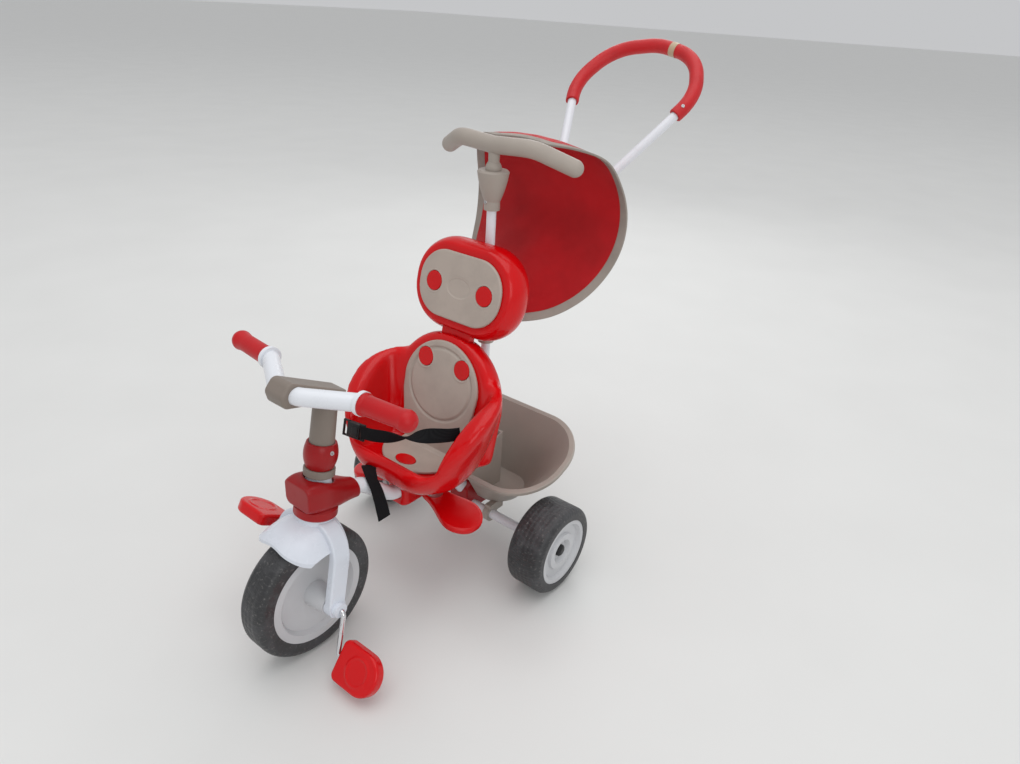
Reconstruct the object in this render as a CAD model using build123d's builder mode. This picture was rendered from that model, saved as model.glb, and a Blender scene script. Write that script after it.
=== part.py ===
from build123d import *
import math
import os

# Children's tricycle with a parent's push handle, a turning T-handle, a canopy and a tipping tub.
# Millimetres. +X is the way the child faces, +Y the child's left, +Z up. The origin lies on the
# floor, in the middle of the whole length and on the centre plane. Heights called "up the column"
# run along the steering axis from the front axle.

# ---------------------------------------------------------------- driving dimensions

# Clearances
seat_gap = 0.25  # between curved faces that sit in one another
face_gap = 0.3  # between faces of pieces that move on one another
running_gap = 0.06  # radial play of a shaft in its bearing

# Wheels
rear_axle_x = 42.0
wheelbase = 416.0
front_radius = 122.0
front_tyre_width = 57.0
front_rim_radius = 92.0
rear_radius = 92.0
rear_tyre_width = 78.0
rear_rim_radius = 69.0
rear_track = 449.0
tread_round = 14.0
hub_radius = 20.0
dish_depth = 9.0
rear_ring_radius = 38.0
cap_radius = 12.0
cap_length = 9.0

# Steering
rake = 10.0  # degrees that the steering axis leans back
steering_tube_radius = 11.0
tube_wall = 2.0
leg_width = 34.0
leg_inner = 62.0
leg_thickness = 16.0
leg_end_radius = 17.5
crown_height = 150.0  # up the column
crown_thickness = 9.0
neck_radius = 17.0
neck_height = 16.0
fender_sink = 3.0  # of the top of the mudguard below the top of the crown
fender_drop = 35.0  # of the radius, from the middle of the mudguard to its sides
fender_half_width = 66.0
fender_wall = 4.0
fender_length = 166.0
fender_corner = 50.0
lower_ring_radius = 37.0
lower_ring_height = 20.0
bearing_dome_radius = 25.0
bearing_dome_height = 44.0
column_stack = 74.0  # from the crown to the spacer
spacer_radius = 26.5
spacer_height = 14.0
collar_radius = 28.5
collar_height = 46.0
sleeve_bottom_radius = 21.5
sleeve_top_radius = 20.0
sleeve_sink = 29.0  # of the sleeve inside the collar
cover_bottom = 352.0  # up the column
cover_depth = 24.0
cover_front = 104.0  # ahead of the steering axis
cover_half_width = 23.0

# Handlebar
bar_radius = 14.5
bar_forward = 78.0  # ahead of the steering axis
bar_height = 385.0  # up the column
bar_sweep = 50.0
bar_rise = 11.0
bar_bend = 40.0
flange_y = 109.0
flange_radius = 19.5
flange_thickness = 7.0
grip_length = 82.0
grip_radius = 15.5
grip_ball_radius = 17.5
grip_core_radius = 9.0

# Cranks and pedals
crank_length = 80.0
crank_rod_radius = 4.5
crank_angle = 15.0  # degrees that the left crank points ahead of straight down
crank_bend = 7.0
boss_radius = 13.0
boss_face = 87.0
pedal_inner = 106.5
pedal_width = 92.0
pedal_length = 74.0
pedal_thickness = 22.0
left_pedal_pitch = 54.0  # degrees that the pedal tips nose down
right_pedal_pitch = -30.0

# Frame
frame_tube_radius = 14.0
axle_tube_radius = 10.0
rear_axle_radius = 6.0
mast_setback = 47.0  # behind the rear axle
mast_radius = 9.0
mast_wall = 2.0
shaft_radius = 4.0
bracket_half_width = 24.0
bracket_top = 150.0
bracket_bottom = 78.0
cup_bottom = 718.0
cup_top = 790.0
cup_bottom_radius = 15.0
cup_top_radius = 29.5

# T-handle
t_height = 835.0
t_half_width = 146.0
t_sweep = 43.0
t_drop = 24.0
t_radius = 15.5
t_bend = 60.0
t_shoulder = 84.0  # to the side, where the bar starts to sweep back
t_neck_radius = 15.0
shaft_reach = 25.0  # of the shaft above the cup

# Seat
recline = 13.5  # degrees
seat_wall = 16.0
wing_wall = 34.0
hollow_corner = 26.0
pan_height = 272.0
back_height = 232.0  # up the back
back_half_width = 127.0
back_round = 118.0
back_edge_round = 12.0
neck_depth = 14.0  # thickness, and of its front face behind the front of the back
keel_bottom = 190.0
keel_half_width = 24.0
neck_width = 70.0
neck_sink = 14.0
dot_height = 177.0
pan_dot_width = 45.0
pan_dot_depth = 30.0
pan_bottom = 232.0
back_foot_x = rear_axle_x + 112.0  # where the front of the back meets the pan
back_thickness = 40.0
pad_thickness = 6.0
head_width = 238.0
head_height = 168.0
head_round = 78.0
head_depth = 58.0
head_forward = -3.0  # of the front of the headrest, from the plane of the back
head_centre = 322.0  # up the back from the pan
head_pad_width = 196.0
head_pad_height = 126.0
dot_radius = 18.5
dot_spacing = 92.0
head_dot_spacing = 122.0
pad_waist = 68.0  # half width of the back's pad at its foot
pad_half = 92.0
pad_arch = 82.0  # height of the round top of the back's pad
pad_margin = 13.0  # of the back above its pad
pad_round = 2.5
pan_pad_half = 80.0
pan_pad_root = 62.0  # half width at the back
pan_pad_front = 206.0  # ahead of the rear axle
pan_dot_x = 177.0
head_pad_round = 58.0
head_oval_width = 60.0
head_oval_height = 42.0
head_oval_depth = 1.2
# each level of the bucket: height, rear, front, half width, corner; rear and front from the rear axle
bucket_levels = (
    (pan_bottom, 90, 200, 74, 54), (262, 72, 230, 112, 70), (300, 66, 240, 134, 80),
    (352, 56, 250, 154, 92), (410, 46, 256, 167, 98), (470, 34, 256, 170, 100),
)

# Footrests
footrest_pivot_x = 150.0
footrest_pivot_y = 48.0
footrest_eye_radius = 22.0
footrest_root = 22.0  # half the width at the pin
footrest_length = 116.0
footrest_width = 86.0
footrest_thickness = 14.0
footrest_slope = 13.0
footrest_pin_radius = 5.0
footrest_height = 214.0

# Tub
tub_front = 40.0  # ahead of the rear axle
tub_back = 157.0  # behind the rear axle
tub_half_width = 199.0
tub_rim_height = 222.0  # above the floor, over the middle of the tub
tub_tilt = 21.8
tub_wall = 3.5
tub_floor = 112.0
tub_lip = 7.0
tub_notch = 29.0
tub_clip_y = 70.0
tub_floor_half = 95.0
tub_floor_depth = 120.0
tub_lip_height = 8.0
tub_corner = 98.0
tub_floor_corner = 53.0
tub_floor_setback = 68.0  # of the middle of the floor behind the rear axle
tub_clip_half = 7.0

# Push handle
push_lean = 46.6  # degrees from upright
push_pivot_z = 466.0
push_tube_radius = 9.5
push_pole_length = 259.0
pole_start = 62.0  # of the pole above the handle's reference height
push_pin_setback = 38.0
push_pin_z = 468.0
push_pin_radius = 4.0
push_loop_height = 505.0
push_loop_half_width = 150.0
push_loop_top_width = 206.0
loop_bend = 110.0
loop_foot = 20.0  # of the side tubes above the top of the pole
loop_foot_half = 12.0
loop_shoulder_drop = 118.0
loop_crown_rise = 24.0
foam_share = 0.845  # of each side tube's straight run that stays bare
clamp_wall = 7.0
clamp_half_height = 14.0
cheek_face = 14.0
tongue_half = 6.0
tongue_half_height = 9.0
knuckle_radius = 12.0
knuckle_slot_radius = 24.0
pin_head = 3.0
foam_radius = 15.0

# Canopy
canopy_pivot_x = -60.0  # of the sheet's centre, from the rear axle
canopy_pivot_z = 680.0
canopy_thickness = 1.6
binding_radius = 5.0
binding_bend = 45.0
# each rib: angle round the sheet's centre, half width, radius at the rim, radius on the centre plane
canopy_ribs = (
    (113, 60, 170, 175), (122, 112, 178, 192), (133, 152, 182, 201), (150, 172, 174, 202),
    (170, 180, 171, 182), (190, 179, 166, 150), (212, 167, 159, 128), (234, 142, 160, 128),
    (252, 104, 168, 142), (268, 56, 170, 166),
)

# Belt
strap_width = 28.0
strap_thickness = 2.0
strap_bend = 12.0
buckle_width = 44.0
buckle_height = 34.0
buckle_thickness = 10.0

# ---------------------------------------------------------------- places worked out from them

spacer_bottom = crown_height + column_stack
fender_radius = crown_height - fender_sink
fender_side_radius = fender_radius - fender_drop
front_axle_x = rear_axle_x + wheelbase
mast_x = rear_axle_x - mast_setback
front_hub = Vector(front_axle_x, 0, front_radius)
rear_hub = Vector(rear_axle_x, 0, rear_radius)
lean_sin = math.sin(math.radians(rake))
lean_cos = math.cos(math.radians(rake))
steer = Plane(origin=front_hub, x_dir=(lean_cos, 0, lean_sin), z_dir=(-lean_sin, 0, lean_cos))
steer_front = Plane(origin=front_hub, x_dir=(0, 1, 0), z_dir=(lean_cos, 0, lean_sin))
steer_side = Plane(origin=front_hub, x_dir=(lean_cos, 0, lean_sin), z_dir=(0, -1, 0))
recline_sin = math.sin(math.radians(recline))
recline_cos = math.cos(math.radians(recline))
back_plane = Plane(
    origin=(back_foot_x, 0, pan_height), x_dir=(0, 1, 0), z_dir=(recline_cos, 0, recline_sin)
)
push_sin = math.sin(math.radians(push_lean))
push_cos = math.cos(math.radians(push_lean))
push_plane = Plane(
    origin=(mast_x, 0, push_pivot_z), x_dir=(0, 1, 0), z_dir=(push_cos, 0, push_sin)
)
pieces = []


def keep(builder, name):
    """Label a finished piece and put it on the list of files to write."""
    builder.part.label = name
    pieces.append(builder.part)


def across(x, z, turn=0.0):
    """A plane through (x, z) whose X is +Y; its Y points up, tipped forward by turn degrees."""
    a = math.radians(turn)
    return Plane(origin=(x, 0, z), x_dir=(0, 1, 0), z_dir=(math.cos(a), 0, -math.sin(a)))


def side_plane(y):
    """A plane facing +Y's opposite at y: its X is +X and its Y is up."""
    return Plane(origin=(0, y, 0), x_dir=(1, 0, 0), z_dir=(0, -1, 0))


# ---------------------------------------------------------------- front wheel

rim_hub_half = leg_inner - 1.0

with BuildPart() as front_tyre:
    with BuildSketch(across(front_axle_x, front_radius)):
        with Locations((0, (front_radius + front_rim_radius) / 2)):
            Rectangle(front_tyre_width, front_radius - front_rim_radius)
        fillet(vertices().group_by(Axis.Y)[-1], tread_round)
    revolve(axis=Axis(front_hub, (0, 1, 0)))
keep(front_tyre, "front_tyre")

with BuildPart() as front_rim:
    with BuildSketch(across(front_axle_x, front_radius)):
        with BuildLine():
            half = front_tyre_width / 2
            outer = front_rim_radius - seat_gap
            bore = crank_rod_radius + seat_gap
            edge = [
                (half, outer), (half, outer - 14), (half - dish_depth, outer - 19),
                (half - dish_depth - 2, hub_radius + 4), (rim_hub_half, hub_radius),
                (rim_hub_half, bore),
            ]
            Polyline(*edge, *[(-y, r) for y, r in reversed(edge)], close=True)
        make_face()
    revolve(axis=Axis(front_hub, (0, 1, 0)))
keep(front_rim, "front_rim")

# ---------------------------------------------------------------- rear wheels and axle

rear_inside = (rear_track - rear_tyre_width) / 2
rear_outside = (rear_track + rear_tyre_width) / 2 - 1.5
rim_bore = rear_axle_radius + running_gap
cap_seat = rear_outside - 12.0
rear_side_names = ((1, "left"), (-1, "right"))

for side, word in rear_side_names:
    with BuildPart() as rear_tyre:
        with BuildSketch(across(rear_axle_x, rear_radius)):
            with Locations((side * rear_track / 2, (rear_radius + rear_rim_radius) / 2)):
                Rectangle(rear_tyre_width, rear_radius - rear_rim_radius)
            fillet(vertices().group_by(Axis.Y)[-1], tread_round)
        revolve(axis=Axis(rear_hub, (0, 1, 0)))
    keep(rear_tyre, "rear_tyre_" + word)

    with BuildPart() as rear_rim:
        with BuildSketch(across(rear_axle_x, rear_radius)):
            with BuildLine():
                outer = rear_rim_radius - seat_gap
                edge = [
                    (rear_inside, outer), (rear_outside, outer), (rear_outside, outer - 8),
                    (rear_outside - dish_depth, outer - 13),
                    (rear_outside - dish_depth, rear_ring_radius + 2),
                    (rear_outside - 3, rear_ring_radius), (rear_outside - 3, rear_ring_radius - 12),
                    (rear_outside - 12, hub_radius), (cap_seat, rim_bore),
                    (rear_inside, rim_bore), (rear_inside, hub_radius - 2),
                    (rear_outside - 20, hub_radius + 2), (rear_outside - 18, outer - 17),
                    (rear_inside, outer - 9),
                ]
                Polyline(*[(side * y, r) for y, r in edge], close=True)
            make_face()
        revolve(axis=Axis(rear_hub, (0, 1, 0)))
    keep(rear_rim, "rear_rim_" + word)

    with BuildPart() as hub_cap:
        with BuildSketch(across(rear_axle_x, rear_radius)):
            with BuildLine():
                start = cap_seat + face_gap
                socket = rear_axle_radius + seat_gap
                Polyline(
                    (side * start, socket), (side * start, cap_radius),
                    (side * (start + cap_length - 4), cap_radius),
                )
                ThreePointArc(
                    (side * (start + cap_length - 4), cap_radius),
                    (side * (start + cap_length - 1), cap_radius * 0.72),
                    (side * (start + cap_length), cap_radius * 0.3),
                )
                Polyline(
                    (side * (start + cap_length), cap_radius * 0.3), (side * (start + cap_length), 0),
                    (side * (start + cap_length - 3), 0),
                    (side * (start + cap_length - 3), socket), (side * start, socket),
                )
            make_face()
        revolve(axis=Axis(rear_hub, (0, 1, 0)))
    keep(hub_cap, "hub_cap_" + word)

with BuildPart() as rear_axle:
    with BuildSketch(Plane.XZ.shift_origin(rear_hub)):
        Circle(rear_axle_radius)
    extrude(amount=cap_seat + cap_length - 3, both=True)
    chamfer(edges().filter_by(GeomType.CIRCLE), 0.8)
keep(rear_axle, "rear_axle")

with BuildPart() as axle_tube:
    with BuildSketch(Plane.XZ.shift_origin(rear_hub)):
        Circle(axle_tube_radius)
        Circle(rear_axle_radius + seat_gap, mode=Mode.SUBTRACT)
    extrude(amount=rear_inside - 0.8, both=True)
keep(axle_tube, "axle_tube")

# ---------------------------------------------------------------- fork and mudguard, one moulding

leg_outer = leg_inner + leg_thickness
crown_inside = crown_height - crown_thickness

with BuildPart() as mudguard:
    with BuildSketch(across(front_axle_x, front_radius, turn=rake - 31.0)):
        with BuildLine():
            inside = fender_radius - fender_wall
            Polyline(
                (fender_half_width, fender_side_radius),
                (fender_half_width - fender_wall * 0.6, fender_side_radius - fender_wall * 0.8),
            )
            ThreePointArc(
                (fender_half_width - fender_wall * 0.6, fender_side_radius - fender_wall * 0.8),
                (0, inside),
                (-fender_half_width + fender_wall * 0.6, fender_side_radius - fender_wall * 0.8),
            )
            Polyline(
                (-fender_half_width + fender_wall * 0.6, fender_side_radius - fender_wall * 0.8),
                (-fender_half_width, fender_side_radius),
            )
            ThreePointArc(
                (-fender_half_width, fender_side_radius), (0, fender_radius),
                (fender_half_width, fender_side_radius),
            )
        make_face()
    revolve(axis=Axis(front_hub, (0, 1, 0)), revolution_arc=65.0)
    with BuildSketch(steer.offset(fender_side_radius / 2)):
        with Locations((2, 0)):
            RectangleRounded(fender_length, 2 * fender_half_width + 2, fender_corner)
    extrude(amount=fender_radius, mode=Mode.INTERSECT)

fork_depth = leg_width / 2
tyre_room = 8.0
rod_bore = crank_rod_radius + running_gap

with BuildPart() as fork:
    with BuildSketch(steer_front):
        with BuildLine():
            top = crown_height - 1
            Polyline(
                (-leg_outer, 0), (-leg_outer, top), (leg_outer, top), (leg_outer, 0),
                (leg_inner, 0), (leg_inner, crown_inside), (-leg_inner, crown_inside),
                (-leg_inner, 0), close=True,
            )
        make_face()
        corners = vertices().filter_by(lambda v: v.Y > crown_inside - 1)
        fillet(corners.filter_by(lambda v: abs(v.X) > leg_outer - 1), leg_outer - 18)
        fillet(vertices().filter_by(lambda v: abs(v.Y - crown_inside) < 0.1), leg_inner - 12)
    extrude(amount=fork_depth, both=True)
    fillet(faces().filter_by(Axis(front_hub, steer_front.z_dir)).edges(), 3.5)
    with BuildSketch(Plane.XZ.shift_origin(front_hub)):
        Circle(leg_end_radius)
    extrude(amount=leg_outer, both=True)
    with BuildSketch(Plane.XZ.shift_origin(front_hub)):
        Circle(boss_radius)
    extrude(amount=boss_face, both=True)
    add(mudguard.part)
    with BuildSketch(steer.offset(crown_height)):
        Circle(lower_ring_radius - 4)
    extrude(amount=-crown_thickness - 4)
    with BuildSketch(steer.offset(crown_height)):
        Circle(neck_radius)
    extrude(amount=neck_height)
    with BuildSketch(Plane.XZ.shift_origin(front_hub)):
        Circle(front_rim_radius)
    extrude(amount=leg_inner, both=True, mode=Mode.SUBTRACT)
    with BuildSketch(Plane.XZ.shift_origin(front_hub)):
        Circle(front_radius + tyre_room)
    extrude(amount=front_tyre_width / 2 + tyre_room, both=True, mode=Mode.SUBTRACT)
    with BuildSketch(steer.offset(crown_height - 6)):
        Circle(steering_tube_radius + seat_gap)
    extrude(amount=neck_height + 8, mode=Mode.SUBTRACT)
    with BuildSketch(Plane.XZ.shift_origin(front_hub)):
        Circle(rod_bore)
    extrude(amount=boss_face + 1, both=True, mode=Mode.SUBTRACT)
keep(fork, "fork")

# ---------------------------------------------------------------- steering column

column_top = cover_bottom + cover_depth
tube_foot = crown_height - 6 + seat_gap

with BuildPart() as steering_tube:
    with BuildSketch(steer.offset(tube_foot)):
        Circle(steering_tube_radius)
        Circle(steering_tube_radius - tube_wall, mode=Mode.SUBTRACT)
    extrude(amount=column_top - tube_foot - 4)
keep(steering_tube, "steering_tube")

column_bore = steering_tube_radius + seat_gap

with BuildPart() as lower_ring:
    with BuildSketch(steer_front):
        with BuildLine():
            low = crown_height + face_gap
            Polyline(
                (neck_radius + running_gap, low), (lower_ring_radius - 3, low),
                (lower_ring_radius, low + 3), (lower_ring_radius, low + lower_ring_height - 4),
                (lower_ring_radius - 4, low + lower_ring_height),
                (column_bore, low + lower_ring_height), (column_bore, low + neck_height + face_gap),
                (neck_radius + running_gap, low + neck_height + face_gap), close=True,
            )
        make_face()
    revolve(axis=Axis(front_hub, steer.z_dir))
keep(lower_ring, "lower_ring")

dome_top = spacer_bottom - face_gap
dome_base = dome_top - bearing_dome_height

with BuildPart() as bearing_dome:
    with BuildSketch(steer_front):
        with BuildLine():
            l1 = Line((steering_tube_radius + running_gap, dome_base), (bearing_dome_radius, dome_base))
            l2 = Line(l1 @ 1, (bearing_dome_radius, dome_base + 16))
            l3 = TangentArc(l2 @ 1, (neck_radius, dome_top), tangent=(0, 1))
            Polyline(l3 @ 1, (steering_tube_radius + running_gap, dome_top), l1 @ 0)
        make_face()
    revolve(axis=Axis(front_hub, steer.z_dir))
keep(bearing_dome, "bearing_dome")

with BuildPart() as column_spacer:
    with BuildSketch(steer.offset(spacer_bottom)):
        Circle(spacer_radius)
        Circle(column_bore, mode=Mode.SUBTRACT)
    extrude(amount=spacer_height)
    chamfer(edges().filter_by(GeomType.CIRCLE).sort_by(SortBy.RADIUS)[-2:], 1.5)
keep(column_spacer, "column_spacer")

collar_bottom = spacer_bottom + spacer_height
collar_top = collar_bottom + collar_height
sleeve_bottom = collar_top - sleeve_sink

with BuildPart() as collar:
    with BuildSketch(steer_front):
        with BuildLine():
            socket = sleeve_bottom_radius + seat_gap
            c1 = Line((column_bore, collar_bottom), (collar_radius - 6, collar_bottom))
            c2 = ThreePointArc(
                c1 @ 1, (collar_radius, collar_bottom + collar_height * 0.45),
                (collar_radius - 3, collar_top - 3),
            )
            c3 = ThreePointArc(
                c2 @ 1, (collar_radius - 3.9, collar_top - 0.8), (collar_radius - 6, collar_top)
            )
            Polyline(
                c3 @ 1, (socket, collar_top), (socket, sleeve_bottom), (column_bore, sleeve_bottom), c1 @ 0
            )
        make_face()
    revolve(axis=Axis(front_hub, steer.z_dir))
keep(collar, "collar")

with BuildPart() as column_sleeve:
    with BuildSketch(steer_front):
        with BuildLine():
            Polyline(
                (column_bore, sleeve_bottom), (sleeve_bottom_radius, sleeve_bottom),
                (sleeve_top_radius, cover_bottom - seat_gap), (column_bore, cover_bottom - seat_gap),
                close=True,
            )
        make_face()
    revolve(axis=Axis(front_hub, steer.z_dir))
keep(column_sleeve, "column_sleeve")

# ---------------------------------------------------------------- handlebar and its cover

bar_end = (bar_forward - bar_sweep, flange_y, bar_height + bar_rise)
bar_ends = [steer.from_local_coords(Vector(bar_end[0], side * bar_end[1], bar_end[2])) for side in (1, -1)]
bar_mids = [
    steer.from_local_coords(Vector(bar_forward, side * cover_half_width, bar_height)) for side in (1, -1)
]
bar_points = [bar_ends[0], bar_mids[0], bar_mids[1], bar_ends[1]]
grip_ways = []
for side in (1, -1):
    tip = steer.from_local_coords(
        Vector(bar_end[0] - 6, side * (flange_y + grip_length), bar_end[2] + 3)
    )
    grip_ways.append((tip - bar_ends[(1 - side) // 2]).normalized())

with BuildPart() as handlebar:
    with BuildLine() as bar_path:
        FilletPolyline(*bar_points, radius=bar_bend)
    with BuildSketch(Plane(origin=bar_ends[0], z_dir=bar_path.line % 0)):
        Circle(bar_radius)
    sweep()
    for end, way in zip(bar_ends, grip_ways):
        with BuildSketch(Plane(origin=end - way * (bar_radius * 0.45), z_dir=way)):
            Circle(bar_radius)
        extrude(amount=bar_radius * 0.45)
        with BuildSketch(Plane(origin=end, z_dir=way)):
            Circle(flange_radius)
        extrude(amount=flange_thickness)
        with BuildSketch(Plane(origin=end, z_dir=way)):
            Circle(grip_core_radius)
        extrude(amount=flange_thickness + grip_length * 0.8)
keep(handlebar, "handlebar")

for end, way, word in zip(bar_ends, grip_ways, ("left", "right")):
    foot = end + way * (flange_thickness + seat_gap)
    with BuildPart() as grip:
        with BuildSketch(Plane(origin=foot, x_dir=way, z_dir=steer.z_dir.cross(way) * -1)):
            with BuildLine():
                bore = grip_core_radius + seat_gap
                ball = grip_length
                core = grip_length * 0.8 + 1
                g1 = Polyline(
                    (0, bore), (0, flange_radius - 1), (3, flange_radius - 1), (7, grip_radius + 0.5),
                    (ball - 18, grip_radius),
                )
                g2 = ThreePointArc(g1 @ 1, (ball - 10, grip_radius + 0.4), (ball, grip_ball_radius))
                g3 = ThreePointArc(
                    g2 @ 1, (ball + grip_ball_radius * 0.6, grip_ball_radius * 0.8),
                    (ball + grip_ball_radius * 0.96, grip_ball_radius * 0.28),
                )
                Polyline(g3 @ 1, (ball + grip_ball_radius * 0.96, 0), (core, 0), (core, bore), (0, bore))
            make_face()
        revolve(axis=Axis(foot, way))
    keep(grip, "grip_" + word)

split_plane = Plane(
    origin=steer.from_local_coords(Vector(bar_forward, 0, bar_height)),
    x_dir=(0, 1, 0),
    z_dir=(steer.z_dir * 0.947 - steer.x_dir * 0.32),
)

with BuildPart() as bar_channel:
    with BuildLine():
        FilletPolyline(*bar_points, radius=bar_bend)
    with BuildSketch(Plane(origin=bar_ends[0], z_dir=bar_path.line % 0)):
        Circle(bar_radius + seat_gap)
    sweep()

for keep_side, word in ((Keep.TOP, "upper"), (Keep.BOTTOM, "lower")):
    with BuildPart() as cover:
        with BuildSketch(steer_side):
            Polygon(
                (-cover_depth, cover_bottom), (cover_depth - 3, cover_bottom),
                (cover_depth + 12, cover_bottom + 10),
                (cover_front - 9, cover_bottom + 13), (cover_front, cover_bottom + 33),
                (cover_front - 14, cover_bottom + 56), (-cover_depth, cover_bottom + 24), align=None,
            )
            fillet(vertices().sort_by(Axis.X)[-3:], 12)
        extrude(amount=cover_half_width, both=True)
        fillet(edges().filter_by(lambda e: abs(abs(e.center().Y) - cover_half_width) < 0.1), 6)
        add(bar_channel.part, mode=Mode.SUBTRACT)
        with BuildSketch(steer.offset(cover_bottom)):
            Circle(column_bore)
        extrude(amount=column_top - cover_bottom - 3, mode=Mode.SUBTRACT)
        split(bisect_by=split_plane, keep=keep_side)
    keep(cover, "handlebar_cover_" + word)

# ---------------------------------------------------------------- crank and pedals

crank_sin = math.sin(math.radians(crank_angle))
crank_cos = math.cos(math.radians(crank_angle))
crank_plane = Plane(origin=front_hub, x_dir=(0, 1, 0), z_dir=(crank_cos, 0, crank_sin))
arm_foot = boss_face + crank_bend
arm_end = pedal_inner - crank_bend - 0.3
rod_end = pedal_inner + pedal_width - 6

with BuildPart() as crank:
    with BuildLine(crank_plane) as crank_path:
        FilletPolyline(
            (rod_end, -crank_length), (arm_end, -crank_length), (arm_foot, 0),
            (-arm_foot, 0), (-arm_end, crank_length), (-rod_end, crank_length), radius=crank_bend,
        )
    with BuildSketch(Plane(origin=crank_path.line @ 0, z_dir=crank_path.line % 0)):
        Circle(crank_rod_radius)
    sweep()
keep(crank, "crank")

for side, word, pitch in ((1, "left", left_pedal_pitch), (-1, "right", right_pedal_pitch)):
    pedal_face = (math.sin(math.radians(pitch)), 0, math.cos(math.radians(pitch)))
    spindle = front_hub + Vector(crank_sin, 0, -crank_cos) * (side * crank_length)
    pedal_plane = Plane(origin=spindle, x_dir=(0, side, 0), z_dir=pedal_face)
    with BuildPart() as pedal:
        with BuildSketch(pedal_plane):
            with Locations((pedal_inner + pedal_width / 2, 0)):
                Rectangle(pedal_width, pedal_length)
            fillet(vertices().sort_by(Axis.X)[-2:], pedal_length / 2 - 1)
            fillet(vertices().sort_by(Axis.X)[:2], 12)
        extrude(amount=pedal_thickness / 2, both=True)
        fillet(faces().filter_by(Axis(spindle, pedal_face)).edges(), 5)
        for turn in (1, -1):
            with BuildSketch(pedal_plane.offset(turn * (pedal_thickness / 2 - 1))):
                with Locations((pedal_inner + pedal_width * 0.54, 0)):
                    Circle(pedal_length * 0.34)
                    Circle(pedal_length * 0.29, mode=Mode.SUBTRACT)
            extrude(amount=turn * 2.5)
        with BuildSketch(Plane(origin=spindle, z_dir=(0, side, 0))):
            Circle(crank_rod_radius + running_gap)
        extrude(amount=pedal_inner + pedal_width - 5, mode=Mode.SUBTRACT)
    keep(pedal, "pedal_" + word)

# ---------------------------------------------------------------- head lug and frame tube

ring_top = crown_height + face_gap + lower_ring_height
tube_points = [
    (rear_axle_x + 350, 0, 298), (rear_axle_x + 285, 0, 274), (rear_axle_x + 215, 0, 218),
    (rear_axle_x + 70, 0, 208), (rear_axle_x, 0, rear_radius + axle_tube_radius + 16),
]

with BuildPart() as frame_tube:
    with BuildLine() as tube_path:
        FilletPolyline(*tube_points, radius=45)
    with BuildSketch(Plane(origin=tube_path.line @ 0, z_dir=tube_path.line % 0)):
        Circle(frame_tube_radius)
        Circle(frame_tube_radius - tube_wall, mode=Mode.SUBTRACT)
    sweep()
keep(frame_tube, "frame_tube")


with BuildPart() as tube_room:
    with BuildLine():
        FilletPolyline(*tube_points, radius=45)
    with BuildSketch(Plane(origin=tube_path.line @ 0, z_dir=tube_path.line % 0)):
        Circle(frame_tube_radius + seat_gap)
    sweep()

with BuildPart() as head_lug:
    for x, z, width, height, corner in (
        (305, 280, 38, 38, 18), (345, 296, 56, 50, 20), (385, 312, 74, 58, 18), (424, 320, 62, 48, 12)
    ):
        with BuildSketch(across(rear_axle_x + x, z)):
            RectangleRounded(width, height, corner)
    loft()
    with BuildSketch(steer.offset(ring_top - 4)):
        Circle(lower_ring_radius - 3)
    extrude(amount=40)
    with BuildSketch(steer.offset(crown_height - 5)):
        Circle(lower_ring_radius + face_gap)
    extrude(amount=ring_top - crown_height + 5, mode=Mode.SUBTRACT)
    with BuildSketch(steer.offset(dome_base - face_gap)):
        Circle(bearing_dome_radius + seat_gap)
    extrude(amount=80, mode=Mode.SUBTRACT)
    with BuildSketch(steer.offset(crown_height)):
        Circle(steering_tube_radius + running_gap)
    extrude(amount=60, mode=Mode.SUBTRACT)
    add(tube_room.part, mode=Mode.SUBTRACT)
keep(head_lug, "head_lug")

# ---------------------------------------------------------------- rear bracket, mast and T-handle

with BuildPart() as rear_bracket:
    with BuildSketch(side_plane(0)):
        Polygon(
            (mast_x - 18, bracket_bottom), (mast_x - 18, bracket_top), (mast_x + 18, bracket_top),
            (mast_x + 34, bracket_top - 18), (rear_axle_x + 4, bracket_top - 4),
            (rear_axle_x + 22, bracket_top - 12), (rear_axle_x + 22, bracket_bottom), align=None,
        )
        fillet(vertices(), 8)
    extrude(amount=bracket_half_width, both=True)
    fillet(edges().filter_by(lambda e: abs(abs(e.center().Y) - bracket_half_width) < 0.1), 3)
    add(tube_room.part, mode=Mode.SUBTRACT)
    with BuildSketch(Plane.XZ.shift_origin(rear_hub)):
        Circle(axle_tube_radius + seat_gap)
    extrude(amount=bracket_half_width + 1, both=True, mode=Mode.SUBTRACT)
    with BuildSketch(Plane.XY.offset(bracket_bottom + 10)):
        with Locations((mast_x, 0)):
            Circle(mast_radius + seat_gap)
    extrude(amount=bracket_top, mode=Mode.SUBTRACT)
keep(rear_bracket, "rear_bracket")

mast_foot = bracket_bottom + 10 + seat_gap

with BuildPart() as mast_tube:
    with BuildSketch(Plane.XY.offset(mast_foot)):
        with Locations((mast_x, 0)):
            Circle(mast_radius)
            Circle(mast_radius - mast_wall, mode=Mode.SUBTRACT)
    extrude(amount=cup_top - 14 - mast_foot)
keep(mast_tube, "mast_tube")

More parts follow.
